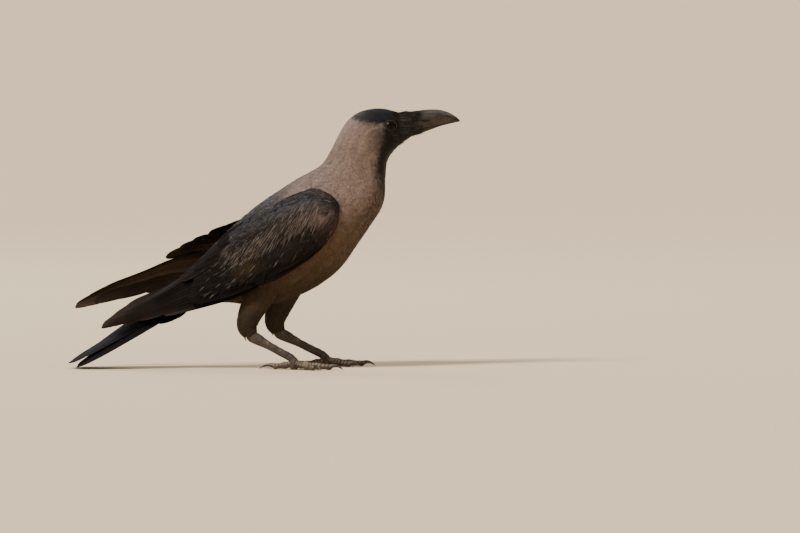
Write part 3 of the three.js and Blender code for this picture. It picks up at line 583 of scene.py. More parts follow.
def plant_coat(name, surface, us, vs, facing, seed, spacing, size, barbs, depth, colour, material, slot,
               stand, streak, keep=None, turn=0.0, sway=0.1, pale=None, curl=0.0):
    """A coat piece over the stretches `us` and `vs` of a surface: fans of barbs at scattered spots.

    They root `depth` below the surface. What changes over the coat is a function of u. `streak` gives the
    length and width of its shades, and `pale` the colour and the share of its pale barbs: partly worn
    edges, partly painted highlights on the wing's strands."""
    u, v = scatter(surface, us, vs, spacing, seed, keep)
    rng = np.random.default_rng(seed)
    count = len(u)
    size, depth, turn, stand = (part(u) if callable(part) else part for part in (size, depth, turn, stand))
    length = np.broadcast_to(size[0], count) * rng.uniform(0.8, 1.2, count)
    width = np.broadcast_to(size[1], count) * rng.uniform(0.85, 1.15, count)
    heading = turn + rng.normal(0, sway, count)
    lift = np.abs(rng.normal(0, 1, count)) * stand
    spread = np.linspace(-1, 1, barbs) if barbs > 1 else np.zeros(1)
    reach = rng.uniform(0.72, 1.05, (count, barbs)) * (1 - 0.2 * spread**2)
    verts = np.empty((count, barbs, len(ROWS), 2, 3))
    normals = np.empty_like(verts)
    walk_u, walk_v = u, v
    for row, share in enumerate(ROWS):
        angle = heading + curl * share
        place, normal, along, across = frame_on(surface, walk_u, walk_v, facing)
        if row == 2:
            spots = place  # what shows of a tuft, past those that overlap it
        ahead = unit(along) * np.cos(angle)[:, None] + unit(across) * np.sin(angle)[:, None]
        aside = unit(np.cross(normal, ahead))
        rise = -depth * (1 - smooth(share, -0.1, 0.8)) + lift * share**2
        off = width[:, None] * spread * (0.3 + 0.6 * share)
        back = (reach - 1) * length[:, None] * share
        high = rise[:, None] - 0.1 * spread**2 * width[:, None] - 0.05 * (np.arange(barbs) % 2)
        shifts = ((place, 1), (aside, off), (ahead, back), (normal, high))
        middle = sum(way[:, None] * np.asarray(far)[..., None] for way, far in shifts)
        half = (width / barbs * 1.1 * BARB_WIDTH[row])[:, None, None]
        for edge, sign in enumerate((-1, 1)):
            verts[:, :, row, edge] = middle + sign * aside[:, None] * half
            normals[:, :, row, edge] = unit(normal + sign * BARB_ROUND * aside)[:, None]
        step = np.diff(ROWS, append=1)[row] * length
        walk_u = walk_u + step * np.cos(angle) / np.maximum(length_of(along), 1e-6)
        walk_v = walk_v + step * np.sin(angle) / np.maximum(length_of(across), 1e-6)
    starts = np.arange(count * barbs) * len(ROWS) * 2
    faces = (starts[:, None, None] + grid_faces(len(ROWS), 2, flip=True)).reshape(-1, 4)
    spans = np.stack(np.meshgrid(spread * 0.4, ROWS - 0.5, (-0.1, 0.1), indexing="ij"), -1)
    patch = np.stack([spans[..., 0] + spans[..., 2], spans[..., 1]], -1) * PATCH
    across, down = (0.02 + 0.96 * (x - ends[0]) / (ends[1] - ends[0]) for x, ends in ((v, vs), (u, us)))
    uv = np.stack([across, down], -1)[:, None, None, None] + patch
    tone, gloss = plumage(spots) if colour is plumage else colour(u, v)
    tone = np.repeat(tone[:, None], barbs, 1)
    corners = len(ROWS) * 2  # of each barb
    if pale:
        share = rng.uniform(0.4, 1, (count, barbs)) * (rng.uniform(0, 1, (count, barbs)) < pale[1])
        tone = overlaid(tone, (share, pale[0]))
    shade = rng.normal(0, 0.3, (count, 1, 1, 1)) + rng.normal(0, 0.3, (count, barbs, 1, 1))
    shade = shade + (ROWS - 0.7)[:, None] * 0.3 + 0.4 * streaks(u, v, streak, seed)[:, None, None, None]
    piece = mesh_piece(
        name, verts, faces, uv, normals,
        plume=np.repeat(solid(tone).reshape(-1, 4), corners, 0), gloss=np.repeat(gloss, barbs * corners),
        shade=np.clip(np.broadcast_to(shade, verts.shape[:-1]), -1, 1).ravel(),
    )
    hand_over(piece, material, slot)


coat_material = plumage_material("contour_feathers", 0.3)
EYES = {side: (np.array(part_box("eye_" + side)).mean(0) - (LENGTHWAYS, 0, 0)) / MM for side in SIDES}
LIDS_REACH = 6.4  # from the eye's middle, as far as the bare lids go


def clear_of_eyes(places):
    """True where neither the root nor the tip of a small feather lies on an eye."""
    spots = [places - eye + ahead for eye in EYES.values() for ahead in ((0, 0, 0), (-2, 0, 0))]
    return length_of(spots).min(0) > LIDS_REACH


def table(heads, rows):
    """Named rows of values under shared heads."""
    return {name: dict(zip(heads.split(), values)) for name, values in rows.items()}


# Each part of the coat: the sections where it starts and ends, the spacing, length and width of its
# feathers at both, and their barbs.
COATS = table("ends spacing length width barbs", {
    "coat_face": ((0.1, 2.4), (0.75, 0.95), (2.6, 4), (0.7, 1), 3),
    "coat_crown": ((2.4, 4.6), (0.95, 1.25), (4, 6), (1, 1.5), 4),
    "coat_neck": ((4.6, 7), (1.25, 1.45), (6, 7.5), (1.5, 1.9), 5),
    "coat_collar": ((7, 9.2), (1.45, 1.65), (7.5, 9), (1.9, 2.3), 5),
    "coat_breast": ((9.2, 11.4), (1.65, 1.8), (9, 11), (2.3, 2.6), 6),
    "coat_belly": ((11.4, 14), (1.8, 1.9), (11, 12), (2.6, 3), 6),
    "coat_vent": ((14, LAST - 0.3), (1.9, 1.9), (12, 13), (3, 3), 6),
})
for seed, (name, part) in enumerate(COATS.items(), 20):
    plant_coat(
        name, trunk_at, part["ends"], (0, math.tau), -1, seed, part["spacing"],
        lambda u: [np.interp(u, part["ends"], part[key]) for key in ("length", "width")], part["barbs"],
        lambda u: coat_depth(u) * 0.9, plumage, coat_material,
        "hood" if name in ("coat_face", "coat_crown") else "collar",
        stand=lambda u: 0.1 + 0.35 * smooth(u, 8, 13), streak=(1.1, 0.05), keep=clear_of_eyes,
    )

for seed, side in enumerate(SIDES, 30):
    plant_coat(
        "coat_thigh_" + side, lambda share, angle: shank_at(side, share, angle), (0.02, 0.88), (0, math.tau),
        -1, seed, (1.6, 1.0), lambda u: (9 - 6.5 * u, 1.9 - 0.9 * u), 5, 1.1, plumage, coat_material, "collar",
        stand=lambda u: 0.35 - 0.33 * u, streak=(0.14, 0.2), sway=0.15,
    )

# ---------------------------------------------------------------------------------------------------
# The eyes: glossy dark globes, set a little forward, each within a ring of bare, finely creased lids.
EYE = {
    "x": 110.1, "z": 213.2, "radius": 5.6, "shown": 4.3,
    "forward": 0.4, "up": 0.1, "section": 1.05, "sunk": 0.98,
}
GLOBE_STEPS = (40, 48)  # from the axis back, and round it
LID_STEPS = 80
PUPIL = 0.36  # the angle from the eye's axis to the pupil's rim, in radians
# The lids' rings, from inside the opening to under the feathers: off its rim and off the eye's plane.
LID_RINGS = (
    (-0.3, -0.8), (-0.14, 0.05), (0.06, 0.3), (0.3, 0.38),
    (0.6, 0.26), (0.9, -0.1), (1.3, -0.5), (2.2, -1.4),
)


def eye_frame(side):
    axis = unit(np.array([EYE["forward"], SIDES[side], EYE["up"]]))
    ahead = unit(np.cross((0, 0, 1), axis)) * -SIDES[side]
    up = np.cross(ahead, axis) * SIDES[side]
    wide = curve_at(SECTIONS, EYE["section"] / LAST)[4] * EYE["sunk"]
    plane = np.array([EYE["x"], SIDES[side] * wide, EYE["z"]])
    return plane, axis, ahead, up


iris = Shader("iris", {"Roughness": 0.06, "Specular IOR Level": 0.11})
off_axis = iris.attribute("off_axis")
rays = iris.noise(260, 4)
brown = iris.mix(rays, (0.002, 0.0011, 0.0008), (0.0065, 0.003, 0.002))
ring = iris.between(off_axis, PUPIL, PUPIL + 0.05)
iris_material = iris.finish(iris.mix(ring, (0.0012, 0.001, 0.001), brown))

lid = Shader("lids", {"Specular IOR Level": 0.12})
creases = lid.node("TexVoronoi", {"feature": "DISTANCE_TO_EDGE"}, {"Vector": lid.places(), "Scale": 1500})
folds = lid.between(creases, 0, 0.25)
rim = (folds * 0.4 + 0.6) * lid.attribute("rim")
lid_colour = lid.mix(rim, (0.005, 0.0042, 0.0038), (0.078, 0.060, 0.049))
lid_material = lid.finish(lid_colour, 0.55 - folds * 0.1, lid.bump(folds, 0.5, 0.15))

for side, sign in SIDES.items():
    plane, axis, ahead, up = eye_frame(side)
    middle = plane - axis * math.sqrt(EYE["radius"] ** 2 - EYE["shown"] ** 2)
    off = np.linspace(0.001, 1.9, GLOBE_STEPS[0])[:, None, None]
    turn = circle(GLOBE_STEPS[1])[None, :, None]
    rim = ahead * np.cos(turn) + up * np.sin(turn)
    swell = 1 + 0.05 * np.exp(-((off / 0.42) ** 2))  # the cornea
    globe = middle + (axis * np.cos(off) + rim * np.sin(off)) * EYE["radius"] * swell
    faces = grid_faces(*GLOBE_STEPS, wrap=True, flip=side == "right")
    eye = mesh_piece("eyeball_" + side, globe, faces, off_axis=np.repeat(off.ravel(), GLOBE_STEPS[1]))
    hand_over(eye, iris_material, "eye", "eye_" + side)

    turns = circle(LID_STEPS)
    corner = 0.3 * np.abs(np.cos(turns)) ** 8
    heavy = np.where(np.sin(turns) > 0, 0.12, 0.03) * np.sin(turns)  # the upper lid droops
    rings = []
    for beyond, high in LID_RINGS:
        across = EYE["shown"] + beyond + corner - heavy * (beyond < 1)
        wave = 0.06 * np.sin(turns * 23 + beyond * 5) * (beyond > 0.3)
        ring = ahead * (np.cos(turns) * across)[:, None] + up * (np.sin(turns) * across)[:, None]
        rings.append(plane + ring + axis * (high + wave)[:, None])
    rims = np.repeat([math.exp(-(((beyond - 0.25) / 0.25) ** 2)) for beyond, _ in LID_RINGS], LID_STEPS)
    faces = grid_faces(len(LID_RINGS), LID_STEPS, wrap=True, flip=side == "right")
    lids = mesh_piece("lids_" + side, rings, faces, rim=rims)
    modify(lids, "SUBSURF", levels=1, render_levels=1)
    hand_over(lids, lid_material, "hood")

# ---------------------------------------------------------------------------------------------------
# The bill: two stout horn sheaths that meet along the mouth's line. The upper one has a rounded ridge
# and overhangs the lower with a hooked tip. Fine growth lines run along both, worn at the edges.
# Stations from base to tip: x, the ridge's height, the lower edge's height, half width.
BILL = np.array([
    (113, 224.0, 195.4, 9.4), (117.3, 224.6, 196.9, 8.9), (126, 225.3, 202.8, 8.1), (134, 226.3, 205.7, 7.3),
    (143, 227.2, 208.7, 6.2), (152, 226.9, 212.1, 4.9), (160, 224.7, 214.3, 3.5), (166, 221.4, 216.1, 2.1),
    (169, 218.9, 216.7, 0.9), (BILL_TIP, 217.5, 217.1, 0.15),
])
MOUTH = np.array([(110, 203.6), (116, 205.6), (130, 209.6), (145, 212.9), (158, 215.2), (172, 216.4)])
BILL_STEPS = 90
OVERHANG = 0.5  # how far the upper edge laps over the lower sheath


def bill_at(x, angle):
    """A place on the closed bill's outline; the angle runs round from its ridge to the left."""
    table = curve_at(BILL, evenly(200))
    top, low, wide = (np.interp(x, table[:, 0], table[:, i]) for i in (1, 2, 3))
    return stack(x, wide * np.sin(angle), (top + low) / 2 + (top - low) / 2 * np.cos(angle))


def bill_part(upper):
    """Rings of the upper or the lower sheath; each runs from one edge over the ridge to the other."""
    x, top, low, wide = np.moveaxis(curve_at(BILL, evenly(BILL_STEPS)), -1, 0)
    mouth_x, mouth_z = np.moveaxis(curve_at(MOUTH, evenly(200)), -1, 0)
    mouth = np.clip(np.interp(x, mouth_x, mouth_z), low + 0.1, top - 0.4)
    middle = (top + low) / 2
    half = (top - low) / 2
    mouth_angle = np.arccos(np.clip((mouth - middle) / half, -1, 1))
    turn = np.linspace(-1, 1, 33)
    angle = turn * mouth_angle[:, None] if upper else math.pi + turn * (math.pi - mouth_angle[:, None])
    inset = 0.0 if upper else OVERHANG
    pinch = 1 - 0.14 * np.abs(np.sin(angle * 2)) * smooth(x, 118, 140)[:, None]
    side = (wide[:, None] - inset) * np.sin(angle) * pinch
    high = middle[:, None] + half[:, None] * np.cos(angle)
    if upper:
        high -= OVERHANG * np.abs(turn) ** 6 * smooth(x, 112, 124)[:, None]
    across = np.linspace(side[:, -1], side[:, 0], 9)[1:-1].T  # the sheath's inner face
    dome = (1 - (across / np.maximum(np.abs(side[:, -1:]), 0.1)) ** 2) * (1.2 if upper else -1.2)
    inner = high[:, -1:] + dome * smooth(BILL_TIP - x, 1, 12)[:, None]
    return np.concatenate([stack(x[:, None], side, high), stack(x[:, None], across, inner)], 1)


horn = Shader("horn", {"Specular IOR Level": 0.24})
growth = horn.noise(420, 5, stretch=(0.12, 1, 1))
grain = horn.noise(900, 3)
mottle = horn.noise(70, 3)
streaked = horn.between(growth + mottle * 0.9, 0.85, 1.15)
# painted highlight: a pale grey line along the top of the upper sheath, where the light falls
ridge_highlight = horn.attribute("ridge") * horn.between(growth, 0.3, 0.7, 0.35, 0.8)
shaded = horn.between(horn.attribute("base") + (growth - 0.5) * 1.6, 0.3, 0.7)
worn = horn.between(horn.attribute("worn") + (grain - 0.5) * 2.2, 0.85, 1.2)
horn_colour = horn.mix(streaked, (0.0040, 0.0034, 0.0031), (0.044, 0.035, 0.028))
horn_colour = horn.mix(ridge_highlight, horn_colour, (0.105, 0.095, 0.098))
# painted shadow: a dark line along the gape where the two sheaths meet
horn_colour = horn.mix(horn.attribute("mouth"), horn_colour, (0.002, 0.0018, 0.0017))
horn_colour = horn.mix(shaded, horn_colour, (0.0048, 0.0040, 0.0036))
horn_colour = horn.mix(worn * 0.5, horn_colour, (0.095, 0.078, 0.062))
rough = horn.between(growth + grain * 0.4, 0.4, 1.1, 0.26, 0.46) + shaded * 0.25
horn_material = horn.finish(horn_colour, rough, horn.bump(growth + grain * 0.25, 0.35, 0.25))

for name, upper in (("bill_upper", True), ("bill_lower", False)):
    sheath = closed_loft("sheath_" + name, bill_part(upper))
    x, y, z = places_of(sheath).T
    off = z - np.interp(x, *MOUTH.T)
    across = np.abs(y) / np.interp(x, BILL[:, 0], BILL[:, 3])
    worn_edge = np.exp(-(((off - 1.2) / 0.8) ** 2)) * upper * (1 - 0.7 * smooth(x, 150, 165))
    flakes = 0.3 * np.exp(-(((x - 141) / 5) ** 2) - (off / 1.8) ** 2)  # by the gape
    mark(
        # the mouth mark: where the painted shadow lies along the gape
        sheath.data, worn=worn_edge + flakes, mouth=np.exp(-((off / (0.6 if upper else 1.3)) ** 2)),
        # the ridge mark: where the painted highlight lies along the upper sheath's top
        ridge=upper * (1 - smooth(across, 0.45, 0.95)) * smooth(x, 122, 146),
        base=1 - smooth(x + 5 * across, 120, 150),
    )
    hand_over(sheath, horn_material, "bill", name)

# ---------------------------------------------------------------------------------------------------
# The bristles: stiff tapered hairs that lie forward over the nostrils from the forehead and lores, a
# few at the gape and short wiry ones under the chin. They are set by Geometry Nodes on their roots.
# Each set's stretch of the bill's length, angles off its ridge, number, length, lift and thickness.
BRISTLE_SETS = table("at angles count length lift thick", {
    "bristles_ridge": ((111, 117), (0, 34), 420, (3, 11), 0.02, 0.14),
    "bristles_nasal": ((111, 123), (30, 86), 1000, (5, 20), 0.02, 0.17),
    "bristles_cheek": ((111, 122), (84, 130), 520, (4, 14), 0.04, 0.15),
    "bristles_brow": ((112, 124), (0, 20), 9, (3, 5), 0.5, 0.09),
    "bristles_lores": ((0.1, 1.2), (16, 140), 900, (3.5, 9), 0.06, 0.13),
    "bristles_chin": ((111.5, 133), (116, 180), 760, (3, 8), 0.07, 0.14),
    "bristles_beard": ((112, 138), (130, 180), 120, (2.5, 5), 0.5, 0.08),
})


def part_way(ends, share):
    return ends[0] + (ends[1] - ends[0]) * share


def bristle_shape(thick):
    """One bristle of length 1 along x: three-sided, bent down towards its fine tip."""
    t = evenly(7)[:, None]
    radius = thick * (1 - t) ** 0.6 + 0.01
    rings = stack(t, radius * np.cos(circle(3)), radius * np.sin(circle(3)) - 0.06 * t**2)
    shape = bpy.data.meshes.new("bristle")
    shape.from_pydata(rings.reshape(-1, 3).tolist(), [], grid_faces(7, 3, wrap=True).tolist())
    return bpy.data.objects.new("bristle", shape)


def planting():
    """Geometry Nodes that set one shape on every point, turned and sized by the points' attributes."""
    tree = bpy.data.node_groups.new("planting", "GeometryNodeTree")
    for name, kind in (("Roots", "Geometry"), ("Shape", "Object"), ("Material", "Material")):
        tree.interface.new_socket(name, in_out="INPUT", socket_type="NodeSocket" + kind)
    tree.interface.new_socket("Planted", in_out="OUTPUT", socket_type="NodeSocketGeometry")
    start = tree.nodes.new("NodeGroupInput")
    end = tree.nodes.new("NodeGroupOutput")
    info, instances, realize, finish = (
        tree.nodes.new("GeometryNode" + kind)
        for kind in ("ObjectInfo", "InstanceOnPoints", "RealizeInstances", "SetMaterial")
    )
    for name, socket in (("turned", "Rotation"), ("sized", "Scale")):
        read = tree.nodes.new("GeometryNodeInputNamedAttribute")
        read.data_type = "FLOAT_VECTOR"
        read.inputs["Name"].default_value = name
        tree.links.new(read.outputs["Attribute"], instances.inputs[socket])
    for first, output, second, target in (
        (start, "Shape", info, "Object"), (start, "Roots", instances, "Points"),
        (info, "Geometry", instances, "Instance"), (instances, "Instances", realize, "Geometry"),
        (realize, "Geometry", finish, "Geometry"), (start, "Material", finish, "Material"),
        (finish, "Geometry", end, "Planted"),
    ):
        tree.links.new(first.outputs[output], second.inputs[target])
    return tree


def plant(name, places, ahead, normal, sizes, shape, material):
    """Plants the shape at each place, its x along `ahead` and its z along `normal`, as one plain mesh."""
    side = unit(np.cross(normal, ahead))
    up = np.cross(ahead, side)
    turns = [Matrix(np.stack(axes, 1).tolist()).to_euler() for axes in zip(ahead, side, up)]
    piece = add_object(name, bpy.data.meshes.new(name))
    piece.data.from_pydata(in_frame(places).tolist(), [], [])
    mark(piece.data, turned=turns, sized=sizes * MM)
    bpy.context.scene.collection.objects.link(shape)
    modifier = piece.modifiers.new("planting", "NODES")
    modifier.node_group = planting()
    for item in modifier.node_group.interface.items_tree:
        if item.name in ("Shape", "Material"):
            modifier[item.identifier] = shape if item.name == "Shape" else material
    piece.data = bpy.data.meshes.new_from_object(piece.evaluated_get(bpy.context.evaluated_depsgraph_get()))
    piece.modifiers.clear()
    bpy.data.objects.remove(shape)
    piece.data.shade_smooth()
    return piece


bristle = Shader("bristle", {"Roughness": 0.5, "Specular IOR Level": 0.3})
hue = bristle.between(bristle.noise(1000, 1, stretch=(0.1, 1, 1)), 0.42, 0.7)
bristle_material = bristle.finish(bristle.mix(hue, (0.0040, 0.0034, 0.0030), (0.056, 0.044, 0.036)))

for seed, (name, row) in enumerate(BRISTLE_SETS.items(), 40):
    rng = np.random.default_rng(seed)
    count = row["count"]
    root = rng.uniform(*row["at"], count)
    angle = np.radians(rng.uniform(*row["angles"], count)) * rng.choice((-1, 1), count)
    if name == "bristles_lores":  # these root on the face, and lie forward over the bill's base
        place, normal, along, across = frame_on(trunk_at, root, angle, -1)
        along = -along
    else:
        place, normal, along, across = frame_on(bill_at, root, angle, 1)
    lean = np.abs(rng.normal(row["lift"], row["lift"], count))[:, None]
    drift = rng.normal(0, 0.07, count)[:, None]
    ahead = unit(unit(along) + normal * lean + unit(across) * drift)
    sizes = stack(part_way(row["length"], rng.uniform(0, 1, count) ** 1.5), 1.0, 1.0)
    shape = bristle_shape(row["thick"])
    planted = plant(name, place - normal * 0.1, ahead, normal, sizes, shape, bristle_material)
    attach(planted, "root")

# ---------------------------------------------------------------------------------------------------
# The folded wings: long flight feathers under shorter tiers of coverts, each a stiff vane on a shaft
# that slips under the one above it. The arm beneath them holds their roots.
# The wing's lower and upper edges from the bend to the tip: x, y to the side, z.
WING_LOWER = np.array([
    (65.5, 34, 137), (57, 41, 117), (42, 43, 102.5), (20, 43.5, 88), (-2, 43, 77), (-27, 40, 67),
    (-55, 37, 60.5), (-85, 33.5, 54), (-115, 30.5, 44), (-146, 28, 32.5),
], float)
WING_UPPER = np.array([
    (66, 33.5, 143), (60, 35.5, 152), (43, 27, 159.5), (20, 19, 153), (-6, 13, 139), (-34, 9.5, 119),
    (-58, 9.5, 99), (-84.5, 15, 77), (-114.5, 24, 59.5), (-141, 27.6, 43),
], float)
WING_BULGE = 12
WING_POSE = {"right": {"back": 0, "lift": 0, "shut": 0}, "left": {"back": 24, "lift": 18, "shut": 0.42}}
WING_BACK = (0.3, 1.05)
WING_RISE = (0.47, 0.75)
ARM = {"end": 0.46, "depth": (14, 6), "sunk": 3, "least": 1.5}
ROOT_SUNK = 1.2
FLIGHT = ((0, 0.3), (0.1, 0.62), (0.3, 0.95), (0.62, 1), (0.84, 0.98), (0.94, 0.86), (0.985, 0.55), (1, 0.1))
COVERT = ((0, 0.3), (0.15, 0.75), (0.5, 1), (0.8, 0.9), (0.94, 0.6), (0.985, 0.3), (1, 0.06))
# Roots and tips are [along, up] the wing for a tier's lowest and highest feather. `high` is a tier's
# level off the wing's face and `step` each feather's over the last, `outer` and `inner` its half widths.
WING_TIERS = table("count roots tips outline outer inner high step shingle tone wear", {
    "primaries": (10, ((0.28, 0.08), (0.36, 0.44)), ((1, 0.08), (1, 0.95)),
                  FLIGHT, 4.2, 6.2, -10.2, 0.62, 0.06, (0.0066, 0.0049, 0.0042), 0.15),
    "secondaries": (9, ((0.22, 0.1), (0.33, 0.76)), ((0.71, 0.1), (0.69, 0.7)),
                    FLIGHT, 4.6, 7.4, -4, 0.22, 0.05, (0.006, 0.0046, 0.0041), 0.25),
    "tertials": (4, ((0.3, 0.66), (0.3, 0.86)), ((0.74, 0.74), (0.6, 0.93)),
                 FLIGHT, 7.4, 7, -1.7, 0.6, 0.06, (0.008, 0.0062, 0.0055), 0.5),
    "primary_coverts": (6, ((0.14, 0.02), (0.2, 0.18)), ((0.46, -0.02), (0.51, 0.12)),
                        COVERT, 2.8, 4.2, -3.4, 0.4, 0.06, (0.0055, 0.0042, 0.0037), 0.3),
    "greater_coverts": (13, ((0.18, 0.12), (0.3, 0.84)), ((0.42, 0.08), (0.51, 0.84)),
                        COVERT, 4.2, 5.4, -1.9, 0.08, 0.07, (0.0085, 0.0066, 0.0059), 0.4),
    "median_coverts": (13, ((0.08, 0.14), (0.2, 0.86)), ((0.28, 0.06), (0.38, 0.84)),
                       COVERT, 4.2, 5.2, -0.7, 0.04, 0.07, (0.013, 0.0098, 0.0088), 0.3),
    "scapulars": (7, ((0.14, 0.7), (0.18, 0.88)), ((0.5, 0.76), (0.39, 0.9)),
                  COVERT, 5.4, 5, -0.4, 0.16, 0.06, (0.016, 0.0135, 0.0138), 0.35),
})
# Each primary's tip along the wing, how far the tier closes up with its wing, and its tips' light.
PRIMARY_TIPS = (0.8, 0.88, 0.95, 0.985, 1, 1.002, 0.998, 0.99, 0.972, 0.94)
WING_TIERS["primaries"].update(tips_at=PRIMARY_TIPS, shuts=1, tip_light=4)
VANE = {"thick": 0.24, "shaft": 0.13, "camber": 0.003, "rows": 36}
ACROSS = np.array([-1, -0.85, -0.5, -0.07, 0, 0.07, 0.5, 0.85, 1])  # a vane's columns, from edge to edge


def wing_at(side, a, b, high):
    """The folded wing's outer face; `a` runs from the bend to the tip and `b` from the lower edge up."""
    a, b = np.broadcast_arrays(np.asarray(a, float), b)
    along = np.clip(a, 0, 1)
    low = curve_at(WING_LOWER, along)
    top = curve_at(WING_UPPER, along)
    out = unit(stack(0 * a, top[..., 2] - low[..., 2], low[..., 1] - top[..., 1]))
    bulge = WING_BULGE * (1 - 0.8 * along) * smooth(along, -0.1, 0.3) * np.maximum(0, 4 * b * (1 - b))
    place = low + (top - low) * b[..., None] + out * (bulge + high)[..., None]
    pose = WING_POSE[side]
    place[..., 0] -= pose["back"] * smooth(along, *WING_BACK)
    place[..., 2] += pose["lift"] * smooth(along, *WING_RISE)
    return place * (1, SIDES[side], 1)


def vane(surface, length, outer, inner, outline, shingle, rng):
    """A closed thin vane with a raised shaft. surface(share, across, high) is in millimetres across."""
    rows = VANE["rows"]
    shares = 1 - (1 - evenly(rows)) ** 1.5
    width = np.interp(shares, *curve_at(outline, evenly(60)).T)
    edges = []
    for half in (outer, inner):  # barbs part here and there, so that the vane's edge is notched
        splits = rng.uniform(0.3, 0.97, 3)
        notch = sum(np.exp(-(((shares - at) / 0.01) ** 2)) for at in splits) * rng.uniform(0.03, 0.12)
        edges.append((half * width * (1 - notch + rng.normal(0, 0.004, rows)))[:, None])
    shares = shares[:, None]
    reach = ACROSS * np.where(ACROSS < 0, *edges)
    shaft = VANE["shaft"] * np.exp(-((ACROSS / 0.04) ** 2)) * (1 - 0.8 * shares)
    thick = VANE["thick"] * (1 - 0.75 * np.abs(ACROSS))
    lie = -shingle * reach - VANE["camber"] * reach**2
    grid = shares + 0 * reach
    over = surface(grid, reach, lie + thick / 2 + shaft)
    under = surface(grid, reach, lie - thick / 2 - shaft * 0.5)
    inside = stack(grid * length, reach, np.abs(ACROSS))
    return np.stack([over, under]), np.stack([inside, inside])


def shell_faces(rows, columns):
    """Quads of a closed thin sheet: its upper grid, its lower grid and the rim between them."""
    upper = grid_faces(rows, columns)
    lower = grid_faces(rows, columns, flip=True) + rows * columns
    r = np.arange(rows) * columns
    c = np.arange(columns)
    loop = np.concatenate([c[:-1], r[:-1] + columns - 1, (rows - 1) * columns + c[:0:-1], r[:0:-1]])
    ahead = np.roll(loop, -1)
    rim = np.stack([ahead, loop, loop + rows * columns, ahead + rows * columns], 1)
    return np.concatenate([upper, lower, rim])


def vanes(name, shells, tones, seed, inside_out, worn, underside, tip, material, *replaced):
    """Joins vanes into one piece. Each has a strip of its own on the map, and its own share of wear.

    `underside` is the tint that the hidden side adds, and `tip` how much lighter the tips are."""
    rng = np.random.default_rng(seed)
    rows, columns = VANE["rows"], len(ACROSS)
    count = len(shells)
    places, inside = (np.stack(part) for part in zip(*shells))
    faces = shell_faces(rows, columns)[:, :: -1 if inside_out else 1]
    faces = (np.arange(count)[:, None, None] * 2 * rows * columns + faces).reshape(-1, 4)
    per = (count, 2, rows, columns)
    far = evenly(rows)[:, None]
    each = np.arange(count)[:, None, None, None]
    uv = stack((each + (ACROSS + 1) / 2 * 0.84 + 0.08) / count, 0.01 + 0.98 * far, np.zeros(per))[..., :2]
    strength = (rng.uniform(0.4, 1.1, count) * np.linspace(1, 0.5, count))[:, None, None]
    tones = np.asarray(tones, float)[:, None]
    hidden = tones * 0.6 + np.array(underside) * strength * (1 - 0.7 * smooth(far, 0.4, 0.85))
    shown = tones * (1 + (tip - 1) * smooth(far, 0.5, 1))
    shade = np.clip(rng.normal(0, 0.3, count), -1, 1)
    wear = np.broadcast_to(worn, count) * rng.uniform(0.5, 1, count)
    out = unit(np.cross(*(np.gradient(places, axis=axis) for axis in (2, 3))))
    over = np.sign(((places[:, :1] - places[:, 1:]) * out[:, :1]).sum(-1, keepdims=True))
    out = out * np.concatenate([over, -over], 1)
    piece = mesh_piece(
        name, places, faces, uv, out, barbs=inside.reshape(-1, 3),
        plume=np.broadcast_to(solid(np.stack([shown, hidden], 1))[:, :, :, None], per + (4,)).reshape(-1, 4),
        shade=np.repeat(shade, 2 * rows * columns), worn=np.repeat(wear, 2 * rows * columns),
    )
    hand_over(piece, material, "black", *replaced)


def vane_material(name, pale, gloss, tint, rough):
    """Blackish vanes with a purple or blue gloss, fine slanting barbs and paler, worn edges."""
    shader = Shader(name, {"Specular IOR Level": gloss, "Specular Tint": (*tint, 1)})
    inside = shader.node("Attribute", {"attribute_name": "barbs"}, output=1)
    split = shader.node("SeparateXYZ", inputs={"Vector": inside})
    along = split
    across = Value(shader, split.socket.node.outputs["Y"])
    margin = Value(shader, split.socket.node.outputs["Z"])
    slant = along - across.maths("ABSOLUTE") * 1.1
    own = shader.attribute("shade") * 9
    line = shader.node("CombineXYZ", inputs={0: slant * 0.9, 1: across * 0.06, 2: own})
    barb = shader.node("TexNoise", inputs={"Vector": line, "Scale": 1.6, "Detail": 4.0})
    broad = shader.noise(45, 3)
    light = shader.between(barb * 1.2 + shader.attribute("shade") * 0.3 + broad * 0.9, 0.6, 1.5, 0.6, 1.45)
    colour = shader.lit(light)
    worn = shader.between(margin + (barb - 0.5) * 0.3 + (broad - 0.5) * 0.4, 0.92, 1.06)
    colour = shader.mix(worn * shader.attribute("worn"), colour, pale)
    colour = shader.mix(shader.between(margin, 0.02, 0.08, 0.6, 0), colour, (0.022, 0.016, 0.012))
    sheen = shader.between(barb, 0.25, 0.75, rough - 0.07, rough + 0.09)
    return shader.finish(colour, sheen, shader.bump(barb, 0.3, 0.12))


# the underwing's own greyish brown, made lighter still as painted light for the far wing, which lies in shade
UNDERWING_AND_PAINTED_LIGHT = (0.125, 0.086, 0.062)  # the paler brown that these vanes add on their hidden side
flight_material = vane_material("flight_feathers", (0.110, 0.078, 0.055), 0.025, (1, 0.93, 0.95), 0.55)
ARM_COLOUR = (0.02, 0.017, 0.017)


def chord(a):
    """How far it is from the wing's lower edge to its upper edge."""
    a = np.clip(a, 0, 1)
    return length_of(curve_at(WING_UPPER, a) - curve_at(WING_LOWER, a))


